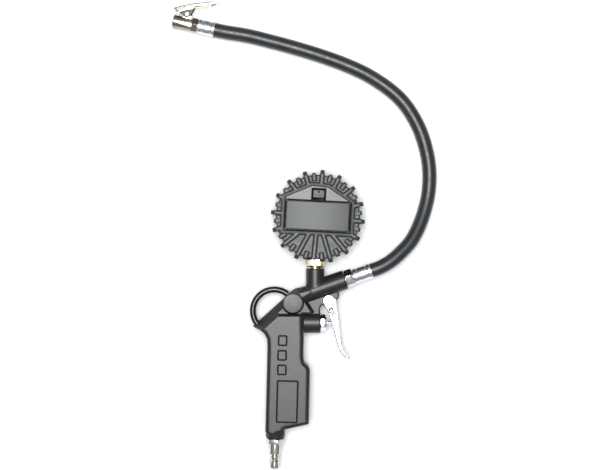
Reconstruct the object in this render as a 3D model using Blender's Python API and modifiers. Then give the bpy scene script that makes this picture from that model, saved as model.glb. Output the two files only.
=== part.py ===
"""Tire inflator gun, laid on its side: pistol body, digital gauge in a rubber boot, hose and clip-on chuck.

World frame: +Z up, the surface it lies on at z = 0, +Y from the grip's foot towards the gauge.
Lengths below are in millimetres in the plane of the gun, with z counted from the gun's mid-plane.
"""
import math

import bmesh
import bpy
from mathutils import Matrix, Vector

MM = 0.001
GAP = 0.3                       # gap left between pieces that touch
ROUND = 20                      # sides of a round piece
SHARP = math.radians(35)        # edges sharper than this stay sharp when shaded

# Where the gun's plane lies, and the shift that centres gun and gauge on the world origin
MID_HEIGHT = 18.0
CENTRING = (0.94, 0.08)

# Gun body
GRIP_FOOT = (-29.6, -105.9)     # mouth of the air inlet
GRIP_LEAN = math.radians(1.5)
GRIP_HALF = 12.5
HEAD_HALF = 9.5
WEB_HALF = 4.6
INLET_PIPE_R = 8.6
BARREL_MOUTH = (33.4, 36.1)
BARREL_RISE = math.radians(19.2)
BARREL_R = 8.8
GAUGE_PORT = (6.3, 46.0)
GAUGE_PORT_R = 8.35
JUNCTION = (-13.7, 15.2)        # where the air passages meet, under the side caps
CAP_R = 8.85
PASSAGE_R = 3.0
LOOP_CENTRE = (-30.0, 8.8)
LOOP_R = 19.2
LOOP_WIRE_R = 2.7
LOOP_ENDS = (math.radians(50), math.radians(222))

# Trigger valve, along X
VALVE_Y = -2.7
VALVE_MOUTH = 11.0
VALVE_HOUSING_R = 9.3
VALVE_BORE_R = 5.5
VALVE_END = -36.0
GLAND_R = 6.2
GLAND_START = 2.0
HEX_15_R = 7.5                  # across corners / 2 of the 13 mm gland nut
STEM_R = 1.3
STEM_TIP = 26.2
SEAT = (-20.0, -17.0)
POPPET = (-24.2, -20.3)

# Trigger
TRIGGER_PIVOT = (18.5, 17.1)
TRIGGER_HUB_R = 5.4
TRIGGER_HALF = 6.2
TRIGGER_SHEET = 1.3
PIN_R = 1.8

# Grip decoration: three square outlines and a framed panel, as (left, bottom, right, top)
GRIP_SQUARES = [(-26.9, -23.4, -18.3, -13.6), (-27.4, -36.4, -18.8, -26.7), (-27.6, -49.3, -19.0, -39.7)]
GRIP_PANEL = (-28.5, -91.4, -8.9, -53.1)
GROOVE = 1.0
GROOVE_DEPTH = 0.7

# Gauge, in a frame at the centre of the dial: x right, y away from the grip
GAUGE_LEAN = math.radians(-2.9)
GAUGE_DISTANCE = 46.3           # from the gauge port's mouth to the dial's centre
BOOT_R = 37.5
FIN_TIP_R = 41.5
FIN_COUNT = 16
FIN_TURN = math.radians(-3.1)   # the boot sits a little twisted on the case
CASE_R = 34.2
BOOT_FRONT, BOOT_BACK = -18.0, 17.4
CASE_FRONT, CASE_BACK = -15.0, 14.8
CASE_WALL = 2.0
DIAL_R = 29.5
WINDOW = [(-29.4, -12.7), (28.7, -12.7), (28.7, 13.4), (7.6, 26.2), (-6.4, 27.0), (-29.4, 16.2)]
DOOR = (-28.7, -12.1, 28.0, 13.9)
DOOR_FACE = 15.6
BATTERY_R, BATTERY_LENGTH = 5.2, 44.5
SCREW_SPOTS = [(x, y) for x in (-11.5, 11.5) for y in (-28.2, 28.2)]
BUTTON_SPOTS = {"power_button": -9.0, "unit_button": 9.0}
BUTTON_Y, BUTTON_R = -15.5, 4.0

# Hose and chuck
HOSE_R = 6.35
HOSE_BORE_R = 3.6
HOSE_REST = 6.5                 # height of the hose's centreline where it lies on the surface
FERRULE_R, FERRULE_LIP_R = 6.7, 7.1
GUN_FERRULE, CHUCK_FERRULE = 16.6, 15.5
ADAPTER_HEX = 7.0
CHUCK_AT = (-100.1, 265.7)      # where chuck and ferrule meet
CHUCK_HEIGHT = 7.6
CHUCK_LEAN = math.radians(-12.0)
CHUCK_R, NOZZLE_R, NOZZLE_BORE_R = 5.75, 6.2, 4.3
NOZZLE_END = -22.8
CHUCK_PIVOT = (-11.4, 8.3)
# Corners of the hose's route in plan, from the gun's ferrule to the chuck's
HOSE_ROUTE = [
    (74.4, 52.6), (85.6, 62.4), (93.6, 71.6), (100.8, 85.2), (105.9, 99.5), (109.1, 113.2), (110.3, 129.5),
    (109.0, 145.0), (104.6, 163.2), (98.4, 178.2), (88.4, 194.2), (76.7, 206.2), (54.9, 221.1), (33.1, 231.2),
    (11.2, 239.1), (-10.6, 245.8), (-32.4, 251.7), (-54.2, 257.0),
]
HOSE_POINTS = 24

FINISHES = {                    # colour, metallic, roughness
    "body_black": ((0.045, 0.047, 0.047, 1), 0.0, 0.55),
    "loop_black": ((0.012, 0.012, 0.012, 1), 0.0, 0.30),
    "nickel": ((0.78, 0.75, 0.70, 1), 1.0, 0.22),
    "zinc": ((0.80, 0.83, 0.86, 1), 1.0, 0.30),
    "brass": ((0.80, 0.58, 0.28, 1), 1.0, 0.28),
    "spring_steel": ((0.55, 0.55, 0.56, 1), 1.0, 0.30),
    "boot_rubber": ((0.060, 0.063, 0.063, 1), 0.0, 0.70),
    "hose_rubber": ((0.018, 0.019, 0.020, 1), 0.0, 0.42),
    "seal_rubber": ((0.012, 0.012, 0.012, 1), 0.0, 0.60),
    "case_plastic": ((0.085, 0.089, 0.088, 1), 0.0, 0.45),
    "door_plastic": ((0.075, 0.080, 0.079, 1), 0.0, 0.38),
    "clear_plastic": ((0.85, 0.88, 0.88, 1), 0.0, 0.05),
    "lcd_glass": ((0.42, 0.47, 0.38, 1), 0.0, 0.20),
    "board_green": ((0.02, 0.16, 0.06, 1), 0.0, 0.45),
    "cell_label": ((0.30, 0.32, 0.34, 1), 0.6, 0.35),
    "button_grey": ((0.20, 0.21, 0.21, 1), 0.0, 0.55),
}


# ---------------------------------------------------------------- scene helpers
def clear_scene():
    for obj in list(bpy.data.objects):
        bpy.data.objects.remove(obj)


def collection(name):
    made = bpy.data.collections.new(name)
    bpy.context.scene.collection.children.link(made)
    return made


def finish(name):
    made = bpy.data.materials.get(name)
    if made is None:
        colour, metallic, roughness = FINISHES[name]
        made = bpy.data.materials.new(name)
        made.use_nodes = True
        shader = made.node_tree.nodes["Principled BSDF"]
        shader.inputs["Base Color"].default_value = colour
        shader.inputs["Metallic"].default_value = metallic
        shader.inputs["Roughness"].default_value = roughness
        made.diffuse_color = colour
    return made


def frame_at(name, x, y, turn=0.0, height=MID_HEIGHT):
    """An empty that carries a sub-assembly: its place in the gun's plane and its turn about +Z."""
    empty = bpy.data.objects.new(name, None)
    empty.location = Vector((x + CENTRING[0], y + CENTRING[1], height)) * MM
    empty.rotation_euler = (0, 0, turn)
    parts.objects.link(empty)
    return empty


def place(obj, frame, material=None):
    """Puts a piece in a frame: with a material it is a part, without one it only cuts or joins."""
    obj.parent = frame
    obj.data.shade_smooth()
    obj.data.set_sharp_from_angle(angle=SHARP)
    if material:
        parts.objects.link(obj)
        obj.data.materials.append(finish(material))
    else:
        cutters.objects.link(obj)
        obj.hide_render = True
        obj.display_type = "WIRE"
    return obj


def origin_on_joint(obj, x, y, z):
    """Moves a piece's origin, not its shape, to a point of its joint's axis."""
    shift = Vector((x, y, z)) * MM - obj.location
    obj.data.transform(Matrix.Translation(-shift))
    obj.location += shift


def mesh_object(name, mesh_builder):
    """An object whose mesh is made by mesh_builder(bm)."""
    bm = bmesh.new()
    mesh_builder(bm)
    mesh = bpy.data.meshes.new(name)
    bm.to_mesh(mesh)
    bm.free()
    return bpy.data.objects.new(name, mesh)


# ---------------------------------------------------------------- shapes
def rod(name, frame, start, end, radius, material=None, sides=ROUND, end_radius=None):
    """A cylinder, cone or prism from start to end, both (x, y, z) in mm."""
    a, b = Vector(start) * MM, Vector(end) * MM
    obj = mesh_object(name, lambda bm: bmesh.ops.create_cone(
        bm, cap_ends=True, segments=sides, radius1=radius * MM,
        radius2=(radius if end_radius is None else end_radius) * MM, depth=(b - a).length))
    obj.location = (a + b) / 2
    obj.rotation_mode = "QUATERNION"
    obj.rotation_quaternion = (b - a).to_track_quat("Z", "Y")
    return place(obj, frame, material)


def block(name, frame, low, high, material=None, bevel=0.0):
    """A box between two corners in mm."""
    a, b = Vector(low), Vector(high)
    obj = mesh_object(name, lambda bm: bmesh.ops.create_cube(
        bm, size=1.0, matrix=Matrix.Diagonal((*((b - a) * MM), 1.0))))
    obj.location = (a + b) / 2 * MM
    if bevel:
        round_edges(obj, bevel)
    return place(obj, frame, material)


def slab(name, frame, outline, z_low, z_high, material=None, chamfer=0.0, holes=()):
    """A flat piece: an outline and its holes, in mm, between two heights, with chamfered rims."""
    curve = bpy.data.curves.new(name + "_outline", "CURVE")
    curve.dimensions = "2D"
    curve.fill_mode = "BOTH"
    curve.extrude = ((z_high - z_low) / 2 - chamfer) * MM
    curve.bevel_depth = chamfer * MM
    curve.bevel_resolution = 0
    curve.offset = -chamfer * MM
    for ring in (counter_clockwise(outline), *holes):
        spline = curve.splines.new("POLY")
        spline.points.add(len(ring) - 1)
        for point, (x, y) in zip(spline.points, ring):
            point.co = (x * MM, y * MM, 0, 1)
        spline.use_cyclic_u = True
    obj = solid_from_curve(curve, name)
    obj.location = (0, 0, (z_low + z_high) / 2 * MM)
    return place(obj, frame, material)


def counter_clockwise(outline):
    area = sum(x0 * y1 - x1 * y0 for (x0, y0), (x1, y1) in zip(outline, outline[1:] + outline[:1]))
    return list(outline) if area > 0 else list(outline)[::-1]


def grown(outline, by):
    """A counter-clockwise outline moved outwards, corner by corner."""
    found = []
    for i, point in enumerate(outline):
        here, before, after = Vector(point), Vector(outline[i - 1]), Vector(outline[(i + 1) % len(outline)])
        a = Vector(((here - before).y, -(here - before).x)).normalized()
        b = Vector(((after - here).y, -(after - here).x)).normalized()
        found.append(tuple(here + (a + b) * by / (1 + a.dot(b))))
    return found


def solid_from_curve(curve, name):
    """The closed mesh of a curve, its caps welded on."""
    guide = bpy.data.objects.new(name + "_guide", curve)
    cutters.objects.link(guide)
    graph = bpy.context.evaluated_depsgraph_get()
    mesh = bpy.data.meshes.new_from_object(guide.evaluated_get(graph))
    mesh.name = name
    bpy.data.objects.remove(guide)
    bm = bmesh.new()
    bm.from_mesh(mesh)
    bmesh.ops.remove_doubles(bm, verts=bm.verts, dist=1e-6)
    bmesh.ops.recalc_face_normals(bm, faces=bm.faces)
    bm.to_mesh(mesh)
    bm.free()
    return bpy.data.objects.new(name, mesh)


def round_edges(obj, width):
    bevel = obj.modifiers.new("edges", "BEVEL")
    bevel.width = width * MM
    bevel.segments = 2
    bevel.limit_method = "ANGLE"


def turned(name, frame, base, direction, profile, material=None, steps=ROUND):
    """A turned piece: (radius, distance along the axis) pairs in mm, from base along direction."""
    area = sum(r0 * d1 - r1 * d0 for (r0, d0), (r1, d1) in zip(profile, profile[1:] + profile[:1]))
    points = profile if area < 0 else profile[::-1]
    hollow = all(r > 0 for r, _ in points)
    edges = [(i, i + 1) for i in range(len(points) - 1)]
    if hollow:
        edges.append((len(points) - 1, 0))
    mesh = bpy.data.meshes.new(name)
    mesh.from_pydata([(r * MM, 0, d * MM) for r, d in points], edges, [])
    obj = bpy.data.objects.new(name, mesh)
    obj.location = Vector(base) * MM
    obj.rotation_mode = "QUATERNION"
    obj.rotation_quaternion = Vector(direction).to_track_quat("Z", "Y")
    screw = obj.modifiers.new("turn", "SCREW")
    screw.axis = "Z"
    screw.steps = screw.render_steps = steps
    screw.use_merge_vertices = True
    screw.merge_threshold = 1e-5
    return place(obj, frame, material)


def tube(name, frame, points, radius, material=None, resolution=2):
    """A round bar along points in mm, as a closed mesh."""
    curve = bpy.data.curves.new(name + "_line", "CURVE")
    curve.dimensions = "3D"
    curve.bevel_depth = radius * MM
    curve.bevel_resolution = resolution
    curve.use_fill_caps = True
    spline = curve.splines.new("POLY")
    spline.points.add(len(points) - 1)
    for point, co in zip(spline.points, points):
        point.co = (*(Vector(co) * MM), 1)
    return place(solid_from_curve(curve, name), frame, material)


def boolean(obj, other, operation):
    step = obj.modifiers.new(f"{operation.lower()} {other.name}"[:60], "BOOLEAN")
    step.operation = operation
    step.object = other
    step.solver = "EXACT"


def join(obj, *others):
    for other in others:
        boolean(obj, other, "UNION")


def cut(obj, *others):
    for other in others:
        boolean(obj, other, "DIFFERENCE")


def arc(centre, radius, start, end, count):
    """Points on an arc, its ends included; angles in radians."""
    steps = [start + (end - start) * i / (count - 1) for i in range(count)]
    return [(centre[0] + radius * math.cos(t), centre[1] + radius * math.sin(t)) for t in steps]


def rectangle(left, bottom, right, top):
    return [(left, bottom), (right, bottom), (right, top), (left, top)]


def helix(centre, axis_start, axis_end, radius, turns, per_turn=10):
    """Points of a coil about an axis along X through centre = (y, z), with its ends closed flat."""
    count = int(turns * per_turn)
    found = []
    for i in range(count + 1):
        t = i / count
        settled = min(max((t * turns - 0.7) / (turns - 1.4), 0), 1)
        angle = 2 * math.pi * turns * t
        found.append((axis_start + (axis_end - axis_start) * settled,
                      centre[0] + radius * math.cos(angle), centre[1] + radius * math.sin(angle)))
    return found


# ---------------------------------------------------------------- gun body
def make_gun_body(gun, grip, barrel, gauge):
    """The one-piece casting: grip, head, barrel, gauge port and valve housing, with its drilled passages."""
    body = slab("gun_body", gun, [
        (-49.3, -5.4), (-43.5, -8.6), (-39.2, -12.2), (-36.8, -17.0), (-36.5, -24.0), (-38.4, -99.5),
        (-35.6, -103.5), (-22.0, -103.5), (-21.3, -97.8), (0.7, -92.9), (1.7, -44.7), (0.3, -41.2),
        (-3.3, -38.0), (-4.2, -33.4), (-3.7, -17.0), (-1.5, -6.0), (-1.5, 4.6), (-39.6, 4.6),
    ], -GRIP_HALF, GRIP_HALF, "body_black", chamfer=3.6)
    head = slab("head", gun, [
        (-48.6, -4.8), (-12.7, 27.8), (-1.4, 31.4), (8.0, 31.0), (6.0, 17.6), (-1.4, 15.2), (5.0, 7.4),
        (5.0, -2.0), (-34.0, -2.0),
    ], -HEAD_HALF, HEAD_HALF, chamfer=3.0)
    web = slab("trigger_web", gun, [
        (-3.0, 20.0), (0.0, 3.0), (10.5, 3.0), (10.8, 11.0), (12.4, 13.6), (15.4, 12.6), (20.0, 12.2),
        (24.6, 16.4), (27.4, 20.0), (28.1, 22.6), (26.0, 27.0), (16.0, 26.0),
    ], -WEB_HALF, WEB_HALF)
    run = math.cos(BARREL_RISE)
    join(body, head, web,
         rod("barrel", barrel, (-40.0 / run, 0, 0), (0, 0, 0), BARREL_R),
         rod("gauge_port", gun, (GAUGE_PORT[0], 26.0, 0), (*GAUGE_PORT, 0), GAUGE_PORT_R),
         rod("valve_housing", gun, (-14.0, VALVE_Y, 0), (VALVE_MOUTH, VALVE_Y, 0), VALVE_HOUSING_R),
         rod("inlet_pipe", grip, (0, 46.0, 0), (0, 0, 0), INLET_PIPE_R))
    inlet_x = GRIP_FOOT[0] + math.tan(GRIP_LEAN) * (VALVE_Y - GRIP_FOOT[1])
    cut(body,
        rod("inlet_passage", grip, (0, 105.0, 0), (0, -1.0, 0), PASSAGE_R, sides=12),
        rod("inlet_thread", grip, (0, 13.0, 0), (0, -1.5, 0), 6.5),
        rod("valve_bore", gun, (VALVE_END, VALVE_Y, 0), (VALVE_MOUTH + 1, VALVE_Y, 0), VALVE_BORE_R, sides=16),
        rod("gland_thread", gun, (GLAND_START, VALVE_Y, 0), (VALVE_MOUTH + 1.4, VALVE_Y, 0), GLAND_R + GAP),
        rod("riser", gun, (JUNCTION[0], VALVE_Y, 0), (JUNCTION[0], JUNCTION[1] + 6.0, 0), PASSAGE_R, sides=12),
        rod("barrel_passage", barrel, (-52.0, 0, 0), (1.0, 0, 0), PASSAGE_R, sides=12),
        rod("barrel_thread", barrel, (-12.0, 0, 0), (1.5, 0, 0), 6.5),
        rod("gauge_passage", gauge, (0, -GAUGE_DISTANCE - 20.0, 0), (0, -GAUGE_DISTANCE + 4, 0), 2.5, sides=12),
        rod("gauge_thread", gauge, (0, -GAUGE_DISTANCE - 10.5, 0), (0, -GAUGE_DISTANCE + 4.6, 0), 6.2),
        rod("cap_bore", gun, (*JUNCTION, -20.0), (*JUNCTION, 20.0), 5.3, sides=16),
        rod("trigger_pin_bore", gun, (*TRIGGER_PIVOT, -8.0), (*TRIGGER_PIVOT, 8.0), PIN_R + GAP, sides=16))
    for side in (-1, 1):
        cut(body, rod(f"cap_seat_{side}", gun, (*JUNCTION, side * (HEAD_HALF - 0.8)), (*JUNCTION, side * 20.0),
                      CAP_R + GAP))
    sockets = [tube("loop_socket", gun, loop_line(), LOOP_WIRE_R + GAP, resolution=3)]
    cut(body, *sockets)
    for i, (left, bottom, right, top) in enumerate([*GRIP_SQUARES, GRIP_PANEL]):
        outer = rectangle(left, bottom, right, top)
        for side in (-1, 1):
            z = sorted((side * (GRIP_HALF - GROOVE_DEPTH), side * (GRIP_HALF + 1.0)))
            cut(body, slab(f"groove_{i}_{side}", gun, outer, *z, holes=[grown(outer, -GROOVE)]))
    assert abs(inlet_x - GRIP_FOOT[0]) < VALVE_BORE_R, "the inlet passage misses the valve bore"
    return body


def loop_line():
    return [(x, y, 0) for x, y in arc(LOOP_CENTRE, LOOP_R, *LOOP_ENDS, 26)]


def make_hanging_loop(gun):
    return tube("hanging_loop", gun, [(x, y, 0) for x, y in arc(
        LOOP_CENTRE, LOOP_R, LOOP_ENDS[0] + 0.02, LOOP_ENDS[1] - 0.02, 26)], LOOP_WIRE_R, "loop_black", resolution=3)


def make_side_caps(gun):
    """Pressed caps that close the cross-drilled junction on both sides of the head."""
    for name, side in (("side_cap_upper", 1), ("side_cap_lower", -1)):
        seat = HEAD_HALF - 0.8 + GAP
        turned(name, gun, (*JUNCTION, 0), (0, 0, side), [
            (0, 4.5), (5.0, 4.5), (5.0, seat), (CAP_R, seat), (CAP_R, 11.6), (CAP_R - 0.6, 12.1), (0, 12.1),
        ], "body_black")


def make_inlet(grip):
    """Quick-coupler plug screwed into the foot of the grip, with its sealing ring."""
    plug = turned("inlet_plug", grip, (0, 0, 0), (0, -1, 0), [
        (2.4, -11.5), (6.2, -11.5), (6.2, 2.0), (5.2, 2.0), (5.2, 14.4), (4.6, 15.0), (3.4, 15.5), (4.0, 16.6),
        (4.0, 18.2), (3.4, 19.6), (5.0, 20.8), (5.4, 21.2), (5.0, 21.7), (3.8, 22.1), (4.2, 22.8), (4.2, 27.1),
        (3.5, 27.8), (2.4, 27.8),
    ], "nickel")
    hexagon = turned("inlet_hex", grip, (0, 0, 0), (0, -1, 0), [
        (5.0, 1.2), (6.9, 1.2), (8.1, 1.8), (8.1, 4.8), (6.9, 5.6), (5.0, 5.6)], steps=6)
    join(plug, hexagon)
    turned("inlet_seal_ring", grip, (0, 0, 0), (0, -1, 0), [
        (6.5, 0.35), (7.6, 0.35), (7.8, 0.65), (7.6, 0.95), (6.5, 0.95)], "seal_rubber")


def make_valve(gun):
    """Seat, spring, sliding stem with its poppet, gland nut and stem seal, all on the housing's axis."""
    start = (0, VALVE_Y, 0)
    turned("valve_seat", gun, start, (1, 0, 0), [
        (2.4, SEAT[0]), (VALVE_BORE_R - GAP, SEAT[0]), (VALVE_BORE_R - GAP, SEAT[1]), (2.4, SEAT[1])], "brass")
    turned("valve_stem", gun, start, (1, 0, 0), [
        (0, POPPET[0]), (3.9, POPPET[0]), (3.9, POPPET[0] + 1.6), (STEM_R, POPPET[0] + 1.6),
        (STEM_R, STEM_TIP - 0.5), (STEM_R - 0.5, STEM_TIP), (0, STEM_TIP)], "zinc", steps=16)
    turned("poppet_seal", gun, start, (1, 0, 0), [
        (STEM_R + 0.2, POPPET[0] + 1.8), (3.9, POPPET[0] + 1.8), (3.9, POPPET[1]), (STEM_R + 0.2, POPPET[1])],
        "seal_rubber", steps=20)
    tube("valve_spring", gun, helix((VALVE_Y, 0), VALVE_END + 0.9, POPPET[0] - 0.9, 3.4, 5.5), 0.45,
         "spring_steel", resolution=1)
    nut = turned("valve_gland_nut", gun, start, (1, 0, 0), [
        (STEM_R + GAP, GLAND_START + 3.6), (GLAND_R - 0.4, GLAND_START + 3.6), (GLAND_R - 0.4, 11.8),
        (5.6, 11.8), (5.6, 16.0), (3.4, 16.4), (STEM_R + GAP, 16.4)], "zinc")
    join(nut, turned("gland_hex", gun, start, (1, 0, 0), [
        (5.0, 11.3), (6.6, 11.3), (HEX_15_R, 11.9), (HEX_15_R, 15.0), (6.6, 15.6), (5.0, 15.6)], steps=6))
    turned("gland_o_ring", gun, start, (1, 0, 0), [
        (STEM_R + 0.2, GLAND_START + 0.5), (GLAND_R - 0.2, GLAND_START + 0.5),
        (GLAND_R - 0.2, GLAND_START + 3.2), (STEM_R + 0.2, GLAND_START + 3.2)], "seal_rubber", steps=20)


def trigger_edges():
    """The trigger's front edge from hub to tip, and its rear edge from tip to hub."""
    front = [(25.0, 18.4), (25.4, 14.4), (26.3, 10.0), (27.9, -2.3), (29.3, -14.6), (30.8, -23.2), (32.8, -28.4),
             (35.6, -32.0), (38.4, -34.2)]
    rear = [(37.4, -35.2), (34.0, -33.4), (30.6, -30.4), (28.0, -26.4), (25.6, -18.5), (23.3, -9.8),
            (21.0, -2.3), (18.6, 6.0), (15.4, 12.2)]
    return front, rear


def make_trigger(gun):
    """Pressed channel: two cheeks on the pivot pin and the curved finger plate between them."""
    front, rear = trigger_edges()
    hub = arc(TRIGGER_PIVOT, TRIGGER_HUB_R, math.radians(205), math.radians(40), 12)
    trigger = slab("trigger_lever", gun, front + rear + hub, -TRIGGER_HALF, TRIGGER_HALF, "zinc")
    inside = [(x - TRIGGER_SHEET, y) for x, y in front[1:]]
    hollow = slab("trigger_hollow", gun, [(40.0, 30.0), (40.0, 13.2), (24.3, 13.2)] + inside[1:] + [
        (30.0, -40.0), (0.0, -10.0), (0.0, 30.0)], -TRIGGER_HALF + 1.2, TRIGGER_HALF - 1.2)
    cut(trigger, hollow, rod("trigger_hole", gun, (*TRIGGER_PIVOT, -9.0), (*TRIGGER_PIVOT, 9.0), PIN_R + GAP, sides=16))
    origin_on_joint(trigger, *TRIGGER_PIVOT, 0)
    turned("trigger_pin", gun, (*TRIGGER_PIVOT, 0), (0, 0, 1), [
        (0, -7.4), (2.4, -7.4), (2.8, -7.0), (2.8, -6.5), (PIN_R, -6.5), (PIN_R, 6.5), (2.8, 6.5), (2.8, 7.0),
        (2.4, 7.4), (0, 7.4)], "nickel")


# ---------------------------------------------------------------- gauge
def fin_angles(offset=0.0):
    return [math.pi / 2 + FIN_TURN + 2 * math.pi * (i + offset) / FIN_COUNT for i in range(FIN_COUNT)]


def boot_outline():
    """The drum's outline in plan: 16 long fins and 16 short ones between them, counter-clockwise."""
    points = []
    for i in range(2 * FIN_COUNT):
        if i == FIN_COUNT:
            continue                # the stem is in the lowest fin's place
        long_fin = i % 2 == 0
        angle = fin_angles()[0] + math.pi * i / FIN_COUNT
        tip = FIN_TIP_R if long_fin else BOOT_R + 1.4
        foot, top = (1.9, 1.2) if long_fin else (1.6, 1.3)
        for radius, side in ((BOOT_R, -foot), (tip, -top), (tip, top), (BOOT_R, foot)):
            turn = angle + side / radius
            points.append((radius * math.cos(turn), radius * math.sin(turn)))
    return points


def reach(outline, angle):
    """Distance from the dial's centre to a convex outline, in a direction."""
    ray = Vector((math.cos(angle), math.sin(angle)))
    distances = []
    for i, point in enumerate(outline):
        a, b = Vector(outline[i - 1]), Vector(point)
        edge = b - a
        spread = ray.x * edge.y - ray.y * edge.x
        if abs(spread) < 1e-9:
            continue
        along = (a.x * edge.y - a.y * edge.x) / spread
        share = (a.x * ray.y - a.y * ray.x) / spread
        if along > 0 and -1e-6 <= share <= 1 + 1e-6:
            distances.append(along)
    return min(distances)


def make_boot(gauge):
    """Rubber boot: finned drum, radial ribs on its back, and a raised frame round the battery door."""
    boot = slab("gauge_boot", gauge, boot_outline(), BOOT_FRONT + 2.4, BOOT_BACK, "boot_rubber")
    frame_outline = grown(WINDOW, 3.0)
    join(boot, slab("window_frame", gauge, frame_outline, BOOT_BACK - 1.0, BOOT_BACK + 1.8))
    ribs = []
    for angle in fin_angles():
        inner = reach(frame_outline, angle) - 1.0
        if inner < 35.5:
            ribs.append((angle, inner, FIN_TIP_R - 1.2, 1.6))
    for angle in fin_angles(0.5):
        if reach(frame_outline, angle) < 31.0:
            ribs.append((angle, 31.8, BOOT_R + 0.4, 1.6))

    def ribs_mesh(bm):
        for angle, inner, outer, half in ribs:
            place_at = (Matrix.Rotation(angle, 4, "Z")
                        @ Matrix.Translation(Vector(((inner + outer) / 2, 0, BOOT_BACK + 0.2)) * MM)
                        @ Matrix.Diagonal((*(Vector((outer - inner, 2 * half, 2.4)) * MM), 1)))
            bmesh.ops.create_cube(bm, size=1.0, matrix=place_at)

    join(boot, place(mesh_object("back_ribs", ribs_mesh), gauge))
    join(boot, turned("front_rim", gauge, (0, 0, 0), (0, 0, 1), [
        (DIAL_R - 0.5, BOOT_FRONT), (33.5, BOOT_FRONT), (BOOT_R - 0.3, BOOT_FRONT + 2.2),
        (BOOT_R - 0.3, BOOT_FRONT + 4.0), (DIAL_R - 0.5, BOOT_FRONT + 4.0)], steps=40))
    inner_r = CASE_R + GAP
    cut(boot,
        turned("boot_cavity", gauge, (0, 0, 0), (0, 0, 1), [
            (0, BOOT_FRONT - 1), (DIAL_R, BOOT_FRONT - 1), (DIAL_R, CASE_FRONT - GAP), (inner_r, CASE_FRONT - GAP),
            (inner_r, CASE_BACK + GAP), (0, CASE_BACK + GAP)], steps=40),
        slab("door_window", gauge, WINDOW, CASE_BACK - 2, BOOT_BACK + 5),
        block("stem_notch", gauge, (-8.8, -50, -9.2), (8.8, -30, 9.2)))
    return boot


def make_case(gauge):
    """Front and back shells, split at the gun's mid-plane, with screw bosses and the battery bay."""
    front = turned("case_front", gauge, (0, 0, 0), (0, 0, 1), [
        (0, CASE_FRONT), (CASE_R - 0.8, CASE_FRONT), (CASE_R, CASE_FRONT + 0.8), (CASE_R, -0.2),
        (CASE_R - CASE_WALL, -0.2), (CASE_R - CASE_WALL, CASE_FRONT + CASE_WALL), (0, CASE_FRONT + CASE_WALL)],
        "case_plastic", steps=32)
    for i, (x, y) in enumerate(SCREW_SPOTS):
        join(front, rod(f"boss_{i}", gauge, (x, y, CASE_FRONT + 1), (x, y, -0.2), 3.0, sides=16))
    cut(front, block("lcd_window", gauge, (-20, -6, -20), (20, 15, -10)))
    for name, x in BUTTON_SPOTS.items():
        cut(front, rod(name + "_hole", gauge, (x, BUTTON_Y, -20), (x, BUTTON_Y, -10), BUTTON_R + GAP, sides=16))
    for i, (x, y) in enumerate(SCREW_SPOTS):
        cut(front, rod(f"pilot_{i}", gauge, (x, y, -9.0), (x, y, 3), 1.7, sides=12))

    left, bottom, right, top = DOOR
    back = turned("case_back", gauge, (0, 0, 0), (0, 0, 1), [
        (0, CASE_BACK), (CASE_R - 0.8, CASE_BACK), (CASE_R, CASE_BACK - 0.8), (CASE_R, 0.2),
        (CASE_R - CASE_WALL, 0.2), (CASE_R - CASE_WALL, CASE_BACK - CASE_WALL), (0, CASE_BACK - CASE_WALL)],
        "case_plastic", steps=32)
    join(back, block("bay_walls", gauge, (left - 1.0, bottom - 1.4, 0.4), (right + 1.0, top + 1.4, CASE_BACK - 0.6)),
         block("latch_walls", gauge, (-8.2, top - 1.0, 6.6), (7.8, 27.2, CASE_BACK - 0.6)))
    cut(back,
        block("bay", gauge, (left + 1.0, bottom + 1.0, 1.8), (right - 1.0, top - 1.0, 20)),
        block("door_seat", gauge, (left - GAP, bottom - GAP, DOOR_FACE - 2.7), (right + GAP, top + GAP, 20)),
        block("latch_pocket", gauge, (-6.4, top - 3.0, 8.2), (5.9, 25.0, 20)))
    for i, (x, y) in enumerate(SCREW_SPOTS):
        cut(back, rod(f"screw_hole_{i}", gauge, (x, y, 5), (x, y, 20), 1.9, sides=12),
            rod(f"screw_sink_{i}", gauge, (x, y, CASE_BACK - 1.3), (x, y, 20), 2.9, sides=16))
    stem_hole = rod("case_stem_hole", gauge, (0, -40, 0), (0, -30, 0), 5.0)
    cut(front, stem_hole)
    cut(back, stem_hole)

    for i, (x, y) in enumerate(SCREW_SPOTS):
        head = CASE_BACK - 1.0
        turned(f"case_screw_{i + 1}", gauge, (x, y, 0), (0, 0, 1), [
            (0, -8.4), (0.9, -8.4), (1.35, -7.4), (1.35, head), (2.5, head), (2.5, head + 0.7), (2.0, head + 1.0),
            (0, head + 1.0)], "spring_steel", steps=14)


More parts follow.
